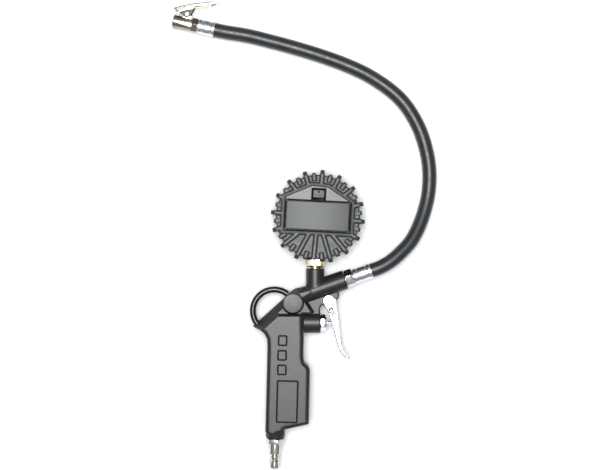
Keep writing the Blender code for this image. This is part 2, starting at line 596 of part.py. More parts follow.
def make_display(gauge):
    """Lens, display, board with its switches, and the two buttons that press them."""
    block("lens", gauge, (-21.8, -8, CASE_FRONT + 2.3), (21.8, 16.4, CASE_FRONT + 3.5), "clear_plastic")
    block("lcd_panel", gauge, (-21, -7, CASE_FRONT + 3.8), (21, 16.2, CASE_FRONT + 6.0), "lcd_glass")
    board_low, board_high = CASE_FRONT + 7.4, CASE_FRONT + 9.0
    slab("circuit_board", gauge, arc((0, 0), 26.0, 0, 2 * math.pi * 31 / 32, 32), board_low, board_high, "board_green")

    for name, x in BUTTON_SPOTS.items():
        block(name.replace("button", "switch"), gauge, (x - 2.5, BUTTON_Y - 2.5, board_low - 1.5),
              (x + 2.5, BUTTON_Y + 2.5, board_low - GAP), "spring_steel")
    for name, x in BUTTON_SPOTS.items():
        turned(name, gauge, (x, BUTTON_Y, 0), (0, 0, 1), [
            (0, CASE_FRONT - 1.3), (BUTTON_R - 0.6, CASE_FRONT - 1.3), (BUTTON_R, CASE_FRONT - 0.9),
            (BUTTON_R, CASE_FRONT + 2.3), (BUTTON_R + 1.0, CASE_FRONT + 2.3), (BUTTON_R + 1.0, CASE_FRONT + 3.1),
            (2.0, CASE_FRONT + 3.1), (2.0, CASE_FRONT + 4.5), (0, CASE_FRONT + 4.5)], "button_grey", steps=20)


def make_power(gauge):
    """Two cells side by side in the bay, their contacts, and the latched door over them."""
    left, bottom, right, top = DOOR
    middle, half = (bottom + top) / 2, 5.55
    level = 7.3
    ends = BATTERY_LENGTH / 2
    for name, y, way in (("battery_left", middle - half, 1), ("battery_right", middle + half, -1)):
        turned(name, gauge, (-0.35, y, level), (way, 0, 0), [
            (0, -ends), (4.6, -ends), (BATTERY_R, -ends + 0.6), (BATTERY_R, ends - 1.6), (4.6, ends - 0.8),
            (1.9, ends - 0.8), (1.9, ends), (0, ends)], "cell_label", steps=20)

    for name, x in (("contact_plate_left", left + 1.9), ("contact_plate_right", right - 1.9)):
        block(name, gauge, (x - 0.3, middle - 10.2, level - 4.2), (x + 0.3, middle + 10.2, level + 4.2),
              "spring_steel")
    for name, y, plate, cell in (("contact_spring_left", middle - half, left + 2.6, -0.35 - ends - 0.5),
                                 ("contact_spring_right", middle + half, right - 2.6, -0.35 + ends + 0.5)):
        tube(name, gauge, helix((y, level), plate, cell, 2.6, 3.0, per_turn=8), 0.3, "spring_steel", resolution=1)

    door = block("battery_door", gauge, (left, bottom, DOOR_FACE - 2.4), (right, top, DOOR_FACE), "door_plastic",
                 bevel=0.7)
    join(door,
         block("latch_root", gauge, (-4.6, top - 2.2, 10.0), (4.1, top - 1.0, DOOR_FACE - 1.0)),
         block("latch_bridge", gauge, (-4.6, top - 2.2, 10.0), (4.1, top + 4.6, 11.3)),
         block("latch_spring_wall", gauge, (-4.6, top + 3.4, 10.0), (4.1, top + 4.6, DOOR_FACE - 0.6)),
         block("latch_tab", gauge, (-5.4, top + 3.4, DOOR_FACE - 2.0), (4.9, top + 10.2, DOOR_FACE - 0.4)))
    origin_on_joint(door, 0, bottom, DOOR_FACE)


def make_stem(gauge):
    """Brass stem that carries the gauge on the gun, with its sealing ring and the sensor behind it."""
    stem = turned("gauge_stem", gauge, (0, 0, 0), (0, -1, 0), [
        (1.2, 29.0), (4.6, 29.0), (4.6, 35.0), (5.9, 35.0), (5.9, GAUGE_DISTANCE + 9.8), (1.2, GAUGE_DISTANCE + 9.8)],
        "brass")
    join(stem, turned("stem_hex", gauge, (0, 0, 0), (0, -1, 0), [
        (5.0, 34.8), (7.4, 34.8), (8.1, 35.4), (8.1, 43.2), (7.4, 43.9), (5.0, 43.9)], steps=6))
    turned("stem_seal_ring", gauge, (0, 0, 0), (0, -1, 0), [
        (6.2, 44.2), (7.2, 44.2), (7.4, 44.7), (7.2, 45.2), (6.2, 45.2)], "seal_rubber")
    rod("pressure_sensor", gauge, (0, -28.7, 0), (0, -20.0, 0), 5.6, "zinc", sides=16)


# ---------------------------------------------------------------- hose and chuck
def ferrule_profile(start, length):
    """Crimped sleeve from start, its flared lip at the hose's end."""
    end = start + length
    return [(4.9, start), (FERRULE_R, start), (FERRULE_R, end - 3.2), (FERRULE_LIP_R, end - 2.6),
            (FERRULE_LIP_R, end), (HOSE_R + GAP, end), (HOSE_R + GAP, end - 1.4), (4.9, end - 1.8)]


def make_hose_end(barrel):
    """Adapter screwed into the barrel, with the barbed tail that the ferrule crimps the hose on."""
    adapter = turned("hose_adapter", barrel, (0, 0, 0), (1, 0, 0), [
        (2.0, -11.0), (6.2, -11.0), (6.2, 1.0), (4.4, 1.0), (4.4, 8.6), (3.4, 9.2), (3.4, 21.5), (2.0, 21.5)], "nickel")
    join(adapter, turned("adapter_hex", barrel, (0, 0, 0), (1, 0, 0), [
        (4.0, 0.4), (7.4, 0.4), (8.1, 1.0), (8.1, ADAPTER_HEX), (7.4, ADAPTER_HEX + 0.5), (4.0, ADAPTER_HEX + 0.5)],
        steps=6))
    turned("gun_end_ferrule", barrel, (0, 0, 0), (1, 0, 0), ferrule_profile(ADAPTER_HEX + 0.9, GUN_FERRULE), "zinc")


def hose_line(barrel, chuck):
    """The hose's centreline: out of the gun's ferrule, down to the surface it lies on, round to the chuck."""
    start = local_point(barrel, ADAPTER_HEX + 0.9 + GUN_FERRULE - 1.0)
    end = local_point(chuck, CHUCK_FERRULE - 1.0)
    away = Vector((math.cos(BARREL_RISE), math.sin(BARREL_RISE), 0))
    home = Vector((-math.cos(CHUCK_LEAN), -math.sin(CHUCK_LEAN), 0))
    plan = [start, start + away * 9.0]
    plan += [Vector((x + CENTRING[0], y + CENTRING[1], 0)) for x, y in HOSE_ROUTE]
    plan += [end - home * 9.0, end]
    line = spread_evenly(catmull_rom([Vector((p.x, p.y, 0)) for p in plan]), HOSE_POINTS)
    length = sum((b - a).length for a, b in zip(line, line[1:]))
    travelled = 0.0
    found = []
    for i, point in enumerate(line):
        if i:
            travelled += (point - line[i - 1]).length
        drop = ease((travelled - 6.0) / 95.0)
        lift = ease((travelled - length + 60.0) / 54.0)
        height = MID_HEIGHT + (HOSE_REST - MID_HEIGHT) * drop + (CHUCK_HEIGHT - HOSE_REST) * lift
        found.append(Vector((point.x, point.y, height)))
    return found


def make_hose(barrel, chuck):
    line = hose_line(barrel, chuck)
    hose = tube("hose", None, line, HOSE_R, "hose_rubber", resolution=4)
    beyond = [line[0] * 2 - line[1], *line, line[-1] * 2 - line[-2]]
    cut(hose, tube("hose_passage", None, beyond, HOSE_BORE_R, resolution=2))


def local_point(frame, along):
    """World place, in mm, of a point on a frame's x axis."""
    turn = frame.rotation_euler.z
    return frame.location / MM + Vector((math.cos(turn), math.sin(turn), 0)) * along


def ease(share):
    share = min(max(share, 0.0), 1.0)
    return share * share * (3 - 2 * share)


def catmull_rom(points, per_span=12):
    """A smooth curve through the points (centripetal, so that uneven spacing leaves no ripples)."""
    ends = [points[0] * 2 - points[1], *points, points[-1] * 2 - points[-2]]
    found = []
    for p0, p1, p2, p3 in zip(ends, ends[1:], ends[2:], ends[3:]):
        t1 = (p1 - p0).length ** 0.5
        t2 = t1 + (p2 - p1).length ** 0.5
        t3 = t2 + (p3 - p2).length ** 0.5
        for i in range(per_span):
            t = t1 + (t2 - t1) * i / per_span
            a1 = p0.lerp(p1, t / t1)
            a2 = p1.lerp(p2, (t - t1) / (t2 - t1))
            a3 = p2.lerp(p3, (t - t2) / (t3 - t2))
            b1 = a1.lerp(a2, t / t2)
            b2 = a2.lerp(a3, (t - t1) / (t3 - t1))
            found.append(b1.lerp(b2, (t - t1) / (t2 - t1)))
    return found + [points[-1]]


def spread_evenly(points, count):
    lengths = [0.0]
    for a, b in zip(points, points[1:]):
        lengths.append(lengths[-1] + (b - a).length)
    found = []
    for i in range(count):
        want = lengths[-1] * i / (count - 1)
        k = max(j for j in range(len(lengths) - 1) if lengths[j] <= want)
        share = (want - lengths[k]) / (lengths[k + 1] - lengths[k])
        found.append(points[k].lerp(points[k + 1], min(share, 1.0)))
    return found


def make_chuck(chuck):
    """Clip-on chuck: body with nozzle and lugs, seal, depressor, and the spring-loaded lever with its claw."""
    turned("chuck_ferrule", chuck, (0, 0, 0), (1, 0, 0), ferrule_profile(0.0, CHUCK_FERRULE), "zinc")
    body = turned("chuck_body", chuck, (0, 0, 0), (1, 0, 0), [
        (0, -13.0), (NOZZLE_BORE_R, -13.0), (NOZZLE_BORE_R, NOZZLE_END), (NOZZLE_R - 0.4, NOZZLE_END),
        (NOZZLE_R, NOZZLE_END + 0.4), (NOZZLE_R, NOZZLE_END + 3.6), (CHUCK_R, NOZZLE_END + 4.1), (CHUCK_R, -5.4),
        (3.4, -5.4), (3.4, 13.0), (0, 13.0)], "nickel")
    join(body,
         turned("chuck_hex", chuck, (0, 0, 0), (1, 0, 0), [
             (0, -5.6), (6.3, -5.6), (7.0, -5.0), (7.0, -1.0), (6.3, -0.4), (0, -0.4)], steps=6),
         slab("chuck_lug", chuck, [(-16.2, 4.4), (-6.6, 4.4)] + arc(
             CHUCK_PIVOT, 2.9, math.radians(-10), math.radians(190), 9), -3.6, 3.6))
    cut(body,
        rod("chuck_passage", chuck, (-14.0, 0, 0), (14.0, 0, 0), 1.5, sides=12),
        rod("chuck_pin_bore", chuck, (*CHUCK_PIVOT, -8), (*CHUCK_PIVOT, 8), 1.5, sides=16),
        block("claw_slot", chuck, (NOZZLE_END + 0.75, 2.6, -2.6), (NOZZLE_END + 4.8, 8.0, 2.6)),
        block("spring_slot", chuck, (-15.2, CHUCK_R + 0.1, -1.9), (-8.0, 14.0, 1.9)))
    turned("chuck_seal", chuck, (0, 0, 0), (1, 0, 0), [
        (2.3, -15.9), (NOZZLE_BORE_R - GAP, -15.9), (NOZZLE_BORE_R - GAP, -13.3), (2.3, -13.3)], "seal_rubber", steps=20)
    turned("valve_depressor", chuck, (0, 0, 0), (1, 0, 0), [
        (0, -17.2), (0.9, -17.2), (1.1, -16.8), (1.1, -8.0), (0, -8.0)], "brass", steps=12)
    turned("chuck_pin", chuck, (*CHUCK_PIVOT, 0), (0, 0, 1), [
        (0, -6.2), (1.8, -6.2), (2.1, -5.9), (2.1, -5.5), (1.2, -5.5), (1.2, 5.5), (2.1, 5.5), (2.1, 5.9), (1.8, 6.2),
        (0, 6.2)], "nickel", steps=16)
    turns, per_turn = 3, 8
    coil = [(CHUCK_PIVOT[0] + 1.8 * math.cos(2 * math.pi * i / per_turn),
             CHUCK_PIVOT[1] + 1.8 * math.sin(2 * math.pi * i / per_turn),
             -1.35 + 2.7 * i / (turns * per_turn)) for i in range(turns * per_turn + 1)]
    tube("chuck_spring", chuck, coil, 0.3, "spring_steel", resolution=1)
    make_chuck_lever(chuck)


def make_chuck_lever(chuck):
    """Pressed channel with two ears on the pin and a claw that reaches through the slot to the valve's thread."""
    top = [(13.4, 27.6), (5.4, 22.9), (-6.8, 19.2), (-18.5, 14.4), (-23.9, 11.6)]
    under = [(-23.9, 10.4), (-19.5, 9.4), (-17.0, 8.6), (-12.6, 5.2), (-9.6, 5.0), (-8.2, 8.0), (-6.2, 16.2),
             (6.4, 20.0), (14.2, 25.4)]
    lever = slab("chuck_lever", chuck, top + under, -5.1, 5.1, "nickel")
    inside = [(15.0, 26.9), (5.9, 21.9), (-6.4, 18.1), (-18.1, 13.3), (-22.6, 10.9)]
    cut(lever, slab("lever_hollow", chuck, inside + [(-22.6, 2.0), (16.0, 2.0)], -4.1, 4.1),
        rod("lever_hole", chuck, (*CHUCK_PIVOT, -8), (*CHUCK_PIVOT, 8), 1.5, sides=16))
    join(lever, slab("lever_claw", chuck, [
        (-21.1, 12.9), (-20.6, 10.9), (-20.1, 8.1), (-20.5, 5.8), (-21.1, 4.0), (-20.3, 3.6), (-19.5, 5.8),
        (-19.1, 8.1), (-19.6, 10.9), (-19.9, 13.4)], -2.1, 2.1))
    origin_on_joint(lever, *CHUCK_PIVOT, 0)


def main():
    gun = frame_at("gun_frame", 0, 0)
    grip = frame_at("grip_frame", *GRIP_FOOT, turn=-GRIP_LEAN)
    barrel = frame_at("barrel_frame", *BARREL_MOUTH, turn=BARREL_RISE)
    gauge = frame_at("gauge_frame", GAUGE_PORT[0] + GAUGE_DISTANCE * math.sin(-GAUGE_LEAN),
                     GAUGE_PORT[1] + GAUGE_DISTANCE * math.cos(GAUGE_LEAN), turn=GAUGE_LEAN)
    chuck = frame_at("chuck_frame", *CHUCK_AT, turn=CHUCK_LEAN, height=CHUCK_HEIGHT)
    make_gun_body(gun, grip, barrel, gauge)
    make_hanging_loop(gun)
    make_side_caps(gun)
    make_inlet(grip)
    make_valve(gun)
    make_trigger(gun)
    make_stem(gauge)
    make_boot(gauge)
    make_case(gauge)
    make_display(gauge)
    make_power(gauge)
    make_hose_end(barrel)
    make_hose(barrel, chuck)
    make_chuck(chuck)


clear_scene()
parts = collection("tire_inflator")
cutters = collection("cutters")
main()
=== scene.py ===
"""Looks of the tire inflator gun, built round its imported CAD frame. Lengths are in mm unless said."""
import math

import bmesh
import bpy
from mathutils import Matrix, Vector


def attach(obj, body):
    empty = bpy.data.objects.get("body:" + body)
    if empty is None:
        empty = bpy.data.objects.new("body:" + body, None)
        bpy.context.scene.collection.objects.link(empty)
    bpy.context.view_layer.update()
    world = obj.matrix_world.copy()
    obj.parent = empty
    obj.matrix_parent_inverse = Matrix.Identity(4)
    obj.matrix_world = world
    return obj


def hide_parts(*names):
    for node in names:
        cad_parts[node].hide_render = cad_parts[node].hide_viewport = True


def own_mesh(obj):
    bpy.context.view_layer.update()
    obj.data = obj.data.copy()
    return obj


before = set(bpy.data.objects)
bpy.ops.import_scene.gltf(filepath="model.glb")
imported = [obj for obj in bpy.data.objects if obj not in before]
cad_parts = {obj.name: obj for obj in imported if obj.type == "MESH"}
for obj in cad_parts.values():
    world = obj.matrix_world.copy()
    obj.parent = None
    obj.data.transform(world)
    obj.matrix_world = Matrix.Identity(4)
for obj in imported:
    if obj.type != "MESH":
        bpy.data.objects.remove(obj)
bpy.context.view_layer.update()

MM = 0.001
TAU = 2 * math.pi
ORIGIN, OUT, DOWN, UP = (0, 0, 0), (1, 0, 0), (0, -1, 0), (0, 0, 1)


def spot(x, y, z=0.0, turn=0.0):
    """A frame at a point, turned about +Z."""
    return Matrix.Translation((x, y, z)) @ Matrix.Rotation(turn, 4, "Z")


# The CAD's sub-assembly frames
CENTRING = (0.94, 0.08)
MID_HEIGHT, HOSE_REST, CHUCK_HEIGHT = 18.0, 6.5, 7.6
GRIP_LEAN, BARREL_RISE = math.radians(-1.5), math.radians(19.2)
GAUGE_PORT = (6.3, 46.0)
GUN = spot(*CENTRING, MID_HEIGHT)
GRIP = GUN @ spot(-29.6, -105.9, 0, GRIP_LEAN)
BARREL = GUN @ spot(33.4, 36.1, 0, BARREL_RISE)
GAUGE = GUN @ spot(*GAUGE_PORT, 0, math.radians(-2.9)) @ spot(0, 46.3)
CHUCK = spot(-99.16, 265.78, CHUCK_HEIGHT, math.radians(-12.0))

GRIP_HALF, HEAD_HALF, WEB_HALF = 12.5, 9.1, 4.6
VALVE_Y = -2.7
JUNCTION = (-13.7, 15.2)
CAP_R = 8.85
LEDGE_Y = 5.0
TRIGGER_PIVOT, TRIGGER_HALF = (18.5, 17.1), 6.2
LOOP_CENTRE, LOOP_R, LOOP_WIRE_R = (-30.6, 8.0), 19.2, 2.8

BOOT_R, FIN_TIP_R, FIN_COUNT, FIN_TURN = 37.5, 42.0, 16, math.radians(-3.1)
STEM_FIN = FIN_COUNT // 2         # no fin here: the stem comes out
BOOT_FRONT, BOOT_BACK = -18.0, 17.4
CASE_R, CASE_FRONT, CASE_BACK = 34.2, -15.0, 14.8
WINDOW = [(-29.4, -12.7), (28.7, -12.7), (28.7, 13.4), (7.6, 26.2), (-6.4, 27.0), (-29.4, 16.2)]
DOOR = (-28.7, -12.1, 28.0, 13.9)
DOOR_FACE = 15.6
LATCH_LEFT, LATCH_RIGHT = -4.6, 4.1
CELL_ROW_X, CELL_Z, CELL_GAP, CELL_END = -0.35, 7.3, 11.1, 22.25
SCREW_SPOTS = [(x, y) for x in (-11.5, 11.5) for y in (-28.2, 28.2)]
BUTTON_SPOTS = {"power_button": (-9.0, -15.5), "unit_button": (9.0, -15.5)}
BUTTON_R = 4.0
HEX_15, HEX_16 = 15.0, 16.2       # nuts, across the corners
NUT_TURN = math.radians(11)
CLEAR = 20.0                      # how high a cutter has to reach to come out of a part

CHUCK_PIVOT = (-11.4, 8.3)
CHUCK_R, NOZZLE_R, NOZZLE_END, NOZZLE_BORE_R = 5.75, 6.2, -22.8, 4.3
HOSE_R = 6.35
# The hose's route in plan, between the two ferrules
HOSE_ROUTE = [
    (74.4, 52.6), (85.6, 62.4), (93.6, 71.6), (100.8, 85.2), (105.9, 99.5), (109.1, 113.2), (110.3, 129.5),
    (109.0, 145.0), (104.6, 163.2), (98.4, 178.2), (88.4, 194.2), (76.7, 206.2), (54.9, 221.1), (33.1, 231.2),
    (11.2, 239.1), (-10.6, 245.8), (-32.4, 251.7), (-54.2, 257.0),
]


# ---------------------------------------------------------------- mesh helpers
def new_object(name, mesh):
    obj = bpy.data.objects.new(name, mesh)
    bpy.context.scene.collection.objects.link(obj)
    return obj


def from_bmesh(name, place, fill):
    """An object whose mesh fill(bm) makes in mm in the frame place."""
    bm = bmesh.new()
    fill(bm)
    bmesh.ops.remove_doubles(bm, verts=bm.verts, dist=1e-4)
    bmesh.ops.recalc_face_normals(bm, faces=bm.faces)
    bm.transform(Matrix.Scale(MM, 4) @ place)
    mesh = bpy.data.meshes.new(name)
    bm.to_mesh(mesh)
    bm.free()
    return new_object(name, mesh)


def hull(name, place, points):
    """A convex solid round points."""
    def fill(bm):
        for point in points:
            bm.verts.new(point)
        bmesh.ops.convex_hull(bm, input=bm.verts)

    return from_bmesh(name, place, fill)


def evaluated_mesh(obj):
    graph = bpy.context.evaluated_depsgraph_get()
    return bpy.data.meshes.new_from_object(obj.evaluated_get(graph))


def apply_modifiers(obj):
    mesh = evaluated_mesh(obj)
    obj.modifiers.clear()
    obj.data = mesh
    return obj


def combine(obj, others, operation, solver="EXACT"):
    """Joins others to obj, or cuts them from it, and removes them."""
    for other in others:
        step = obj.modifiers.new("combine", "BOOLEAN")
        step.operation = operation
        step.solver = solver
        step.object = other
    apply_modifiers(obj)
    for other in others:
        bpy.data.objects.remove(other)
    return obj


def join(obj, *others):
    return combine(obj, others, "UNION")


def cut(obj, *others, solver="EXACT"):
    return combine(obj, others, "DIFFERENCE", solver)


def keep_common(obj, *others):
    return combine(obj, others, "INTERSECT")


def bevel(obj, width, segments=3, angle=30):
    step = obj.modifiers.new("edges", "BEVEL")
    step.width = width * MM
    step.segments = segments
    step.limit_method = "ANGLE"
    step.angle_limit = math.radians(angle)
    step.harden_normals = False
    return apply_modifiers(obj)


def cast(obj, others, voxel, passes, kept):
    """Fuses overlapping pieces into one skin with soft edges, as a casting or moulding has."""
    bm = bmesh.new()
    for part in (obj, *others):
        bm.from_mesh(part.data)
    bm.to_mesh(obj.data)
    bm.free()
    for part in others:
        bpy.data.objects.remove(part)
    remesh = obj.modifiers.new("skin", "REMESH")
    remesh.mode = "VOXEL"
    remesh.voxel_size = voxel * MM
    smooth = obj.modifiers.new("soften", "SMOOTH")
    smooth.factor = 0.5
    smooth.iterations = passes
    thin = obj.modifiers.new("thin", "DECIMATE")
    thin.ratio = kept
    return apply_modifiers(obj)


# ---------------------------------------------------------------- outlines
def fillet(points, radius, closed=True, steps=4):
    """The same outline with its corners rounded; radius is one number or one per corner."""
    nearly_straight, longest_share = math.radians(172), 0.45
    found = []
    count = len(points)
    for i, point in enumerate(points):
        r = radius[i] if isinstance(radius, (list, tuple)) else radius
        if r <= 0 or (not closed and i in (0, count - 1)):
            found.append(tuple(point))
            continue
        here, before, after = Vector(point), Vector(points[i - 1]), Vector(points[(i + 1) % count])
        a, b = (before - here), (after - here)
        corner = a.angle(b)
        if corner > nearly_straight:
            found.append(tuple(point))
            continue
        back = min(r / math.tan(corner / 2), longest_share * a.length, longest_share * b.length)
        a, b = here + a.normalized() * back, here + b.normalized() * back
        for k in range(steps + 1):
            t = k / steps
            found.append(tuple(a * (1 - t) ** 2 + here * 2 * t * (1 - t) + b * t ** 2))
    return found


def arc(centre, radius, start, end, count):
    """Points on an arc, angles in degrees."""
    turns = [math.radians(start + (end - start) * i / (count - 1)) for i in range(count)]
    return [(centre[0] + radius * math.cos(t), centre[1] + radius * math.sin(t)) for t in turns]


def rectangle(left, bottom, right, top):
    return [(left, bottom), (right, bottom), (right, top), (left, top)]


def shrunk(box, by):
    """The outline of a box (left, bottom, right, top) drawn in by a distance."""
    left, bottom, right, top = box
    return rectangle(left + by, bottom + by, right - by, top - by)


def counter_clockwise(outline):
    area = sum(x0 * y1 - x1 * y0 for (x0, y0), (x1, y1) in zip(outline, outline[1:] + outline[:1]))
    return list(outline) if area > 0 else list(outline)[::-1]


def grown(outline, by):
    """A counter-clockwise outline moved outwards, corner by corner."""
    found = []
    for i, point in enumerate(outline):
        here, before, after = Vector(point), Vector(outline[i - 1]), Vector(outline[(i + 1) % len(outline)])
        a = Vector(((here - before).y, -(here - before).x)).normalized()
        b = Vector(((after - here).y, -(after - here).x)).normalized()
        found.append(tuple(here + (a + b) * by / (1 + a.dot(b))))
    return found


# ---------------------------------------------------------------- solids
def lathe(name, place, base, direction, profile, steps=96, soften=0.2):
    """A turned solid: (radius, distance along direction) pairs, its corners rounded by soften."""
    hollow = all(r > 0 for r, _ in profile)
    points = fillet(profile, soften, closed=hollow, steps=3) if soften else profile
    turn = Vector(direction).to_track_quat("Z", "Y").to_matrix().to_4x4()

    def fill(bm):
        verts = [bm.verts.new((r, 0, d)) for r, d in points]
        pairs = list(zip(verts, verts[1:])) + ([(verts[-1], verts[0])] if hollow else [])
        edges = [bm.edges.new(pair) for pair in pairs]
        bmesh.ops.spin(bm, geom=verts + edges, cent=(0, 0, 0), axis=(0, 0, 1), angle=TAU, steps=steps,
                       use_merge=True)

    return from_bmesh(name, place @ Matrix.Translation(base) @ turn, fill)


def rod(name, place, start, end, radius, steps=64, end_radius=None):
    """A round bar, or a cone where end_radius is given."""
    a, b = Vector(start), Vector(end)
    length = (b - a).length
    last = radius if end_radius is None else end_radius
    profile = [(0, 0), (radius, 0), (last, length), (0, length)]
    return lathe(name, place, a, b - a, profile, steps=steps, soften=0)


def hexagon(name, place, base, direction, across_corners, start, end, chamfer=0.8, turned_by=0.0):
    """A nut's hexagon, one face up: a six-sided prism with its corners turned off at both ends."""
    turn = Vector(direction).to_track_quat("Z", "Y").to_matrix().to_4x4()
    turn = turn @ Matrix.Rotation(math.radians(30) + turned_by, 4, "Z")
    r = across_corners / 2

    def fill(bm):
        bmesh.ops.create_cone(bm, cap_ends=True, segments=6, radius1=r, radius2=r, depth=end - start,
                              matrix=Matrix.Translation((0, 0, (start + end) / 2)))

    prism = from_bmesh(name, place @ Matrix.Translation(base) @ turn, fill)
    keep_common(prism, lathe("turned_ends", place, base, direction, [
        (0, start - 0.01), (r - chamfer * 1.3, start - 0.01), (r + 0.1, start + chamfer * 0.75),
        (r + 0.1, end - chamfer * 0.75), (r - chamfer * 1.3, end + 0.01), (0, end + 0.01)], soften=0))
    return bevel(prism, 0.18, 2, 25)


def rivet(name, place, pivot, half, steps=96, soften=0.25):
    """A pin with a head at both ends; half is its profile from one end's centre to the shank."""
    profile = [(r, -d) for r, d in half] + half[::-1]
    return lathe(name, place, (*pivot, 0), UP, profile, steps=steps, soften=soften)


def washer(name, place, direction, bore_r, outer_r, start, thickness=1.0):
    profile = [(bore_r, start), (outer_r, start), (outer_r, start + thickness), (bore_r, start + thickness)]
    return lathe(name, place, ORIGIN, direction, profile, soften=0.4)


def block(name, place, low, high, soften=0.0, segments=3):
    a, b = Vector(low), Vector(high)
    obj = from_bmesh(name, place, lambda bm: bmesh.ops.create_cube(
        bm, size=1.0, matrix=Matrix.Translation((a + b) / 2) @ Matrix.Diagonal((*(b - a), 1.0))))
    return bevel(obj, soften, segments) if soften else obj


def add_line(curve, points, cyclic):
    spline = curve.splines.new("POLY")
    spline.points.add(len(points) - 1)
    for point, co in zip(spline.points, points):
        point.co = (*co, 1)
    spline.use_cyclic_u = cyclic


def from_curve(curve, place):
    """An object with the curve's surface as its mesh, in the frame place."""
    guide = new_object(curve.name + "_guide", curve)
    mesh = evaluated_mesh(guide)
    bpy.data.objects.remove(guide)
    return from_bmesh(curve.name, place, lambda bm: bm.from_mesh(mesh))


def plate(name, place, outline, low, high, soften=0.0, segments=3, holes=()):
    """A flat piece between two heights with rounded rims; its holes are rounded too."""
    curve = bpy.data.curves.new(name, "CURVE")
    curve.dimensions = "2D"
    curve.fill_mode = "BOTH"
    curve.extrude = (high - low) / 2 - soften
    curve.bevel_depth = soften
    curve.bevel_resolution = segments
    curve.offset = -soften
    for ring in (counter_clockwise(outline), *(counter_clockwise(hole)[::-1] for hole in holes)):
        add_line(curve, [(x, y, 0) for x, y in ring], cyclic=True)
    return from_curve(curve, place @ Matrix.Translation((0, 0, (low + high) / 2)))


def bar_curve(name, points, radius, resolution, cyclic=False):
    """A round bar along points, closed at its ends."""
    curve = bpy.data.curves.new(name, "CURVE")
    curve.dimensions = "3D"
    curve.bevel_depth = radius
    curve.bevel_resolution = resolution
    curve.use_fill_caps = True
    add_line(curve, points, cyclic)
    return curve


def wire(name, place, points, radius, resolution=8, cyclic=False):
    """A round bar along points, as a mesh."""
    return from_curve(bar_curve(name, points, radius, resolution, cyclic), place)


def coil_points(centre, start, end, radius, turns, per_turn=24, closed_ends=0.7):
    """A spring's centreline about an axis along X through centre = (y, z), its end turns closed up."""
    count = int(turns * per_turn)
    found = []
    for i in range(count + 1):
        t = i / count
        settled = min(max((t * turns - closed_ends) / (turns - 2 * closed_ends), 0), 1)
        angle = TAU * turns * t
        found.append((start + (end - start) * settled,
                      centre[0] + radius * math.cos(angle), centre[1] + radius * math.sin(angle)))
    return found


# ---------------------------------------------------------------- materials
class Look:
    """A procedural material: one Principled shader and the nodes that vary it."""

    def __init__(self, name, colour, roughness, metallic=0.0, **sockets):
        self.material = bpy.data.materials.new(name)
        self.material.use_nodes = True
        self.nodes = self.material.node_tree.nodes
        self.shader = self.nodes["Principled BSDF"]
        self.shader.inputs["Metallic"].default_value = metallic
        self.shader.inputs["Roughness"].default_value = roughness
        self.shader.inputs["Base Color"].default_value = (*colour, 1)
        for socket, value in sockets.items():
            self.shader.inputs[socket.replace("_", " ")].default_value = value
        self.bump = None

    def link(self, source, target):
        self.material.node_tree.links.new(source, target)

    def node(self, kind, **inputs):
        made = self.nodes.new("ShaderNode" + kind)
        for socket, value in inputs.items():
            made.inputs[socket.replace("_", " ")].default_value = value
        return made

    def place(self, stretch):
        """Object coordinates in mm, stretched along the axes."""
        coords = self.node("TexCoord")
        mapping = self.node("Mapping", Scale=[s / MM for s in stretch])
        self.link(coords.outputs["Object"], mapping.inputs["Vector"])
        return mapping.outputs["Vector"]

    def noise(self, size, detail, stretch=(1, 1, 1)):
        """Noise whose features are about size mm across."""
        made = self.node("TexNoise", Scale=1 / size, Detail=detail, Roughness=0.55)
        self.link(self.place(stretch), made.inputs["Vector"])
        return made.outputs["Fac"]

    def spread(self, value, low, high):
        """Noise, most of which lies between 0.3 and 0.7, mapped to a range."""
        made = self.node("MapRange", From_Min=0.3, From_Max=0.7, To_Min=low, To_Max=high)
        self.link(value, made.inputs["Value"])
        return made.outputs["Result"]

    def vary_colour(self, value, dark, light):
        made = self.node("Mix")
        made.data_type = "RGBA"
        made.inputs["A"].default_value = (*dark, 1)
        made.inputs["B"].default_value = (*light, 1)
        self.link(self.spread(value, 0, 1), made.inputs["Factor"])
        self.link(made.outputs["Result"], self.shader.inputs["Base Color"])
        return self

    def vary_roughness(self, value, low, high):
        self.link(self.spread(value, low, high), self.shader.inputs["Roughness"])
        return self

    def relief(self, value, depth, strength):
        """Adds a bump depth mm deep on top of those added before."""
        made = self.node("Bump", Strength=strength, Distance=depth * MM)
        self.link(value, made.inputs["Height"])
        if self.bump:
            self.link(self.bump, made.inputs["Normal"])
        self.bump = made.outputs["Normal"]
        self.link(self.bump, self.shader.inputs["Normal"])
        return self


def varied(name, colour, roughness, tones=None, sheen=None, reliefs=(), **sockets):
    """A material varied by noise whose sizes are in mm.

    tones is (size, detail, dark, light), sheen is (size, detail, low, high) for the roughness, and
    each relief is (size, detail, depth, strength).
    """
    look = Look(name, colour, roughness, **sockets)
    if tones:
        look.vary_colour(look.noise(*tones[:2]), *tones[2:])
    if sheen:
        look.vary_roughness(look.noise(*sheen[:2]), *sheen[2:])
    for size, detail, depth, strength in reliefs:
        look.relief(look.noise(size, detail), depth, strength)
    return look.material


def moulded_plastic(name, dark, light, low, high, shine=0.5, grain=0.45):
    """Spark-eroded moulded plastic: fine even grain and slow changes of tone."""
    return varied(name, dark, low, (grain * 1.5, 2, dark, light), (grain * 3, 3, low, high),
                  [(grain, 2, 0.008, 0.7)], Specular_IOR_Level=shine)


def metal(name, dark, light, low, high, stretch=(1, 1, 1), grain=0.8, depth=0.012):
    """Plated or machined metal, its fine marks stretched along one direction."""
    look = Look(name, light, low, metallic=1.0)
    look.vary_colour(look.noise(5.0, 4), dark, light)
    look.vary_roughness(look.noise(grain * 2, 3, stretch), low, high)
    look.relief(look.noise(grain, 3, stretch), depth, 0.6)
    return look.material


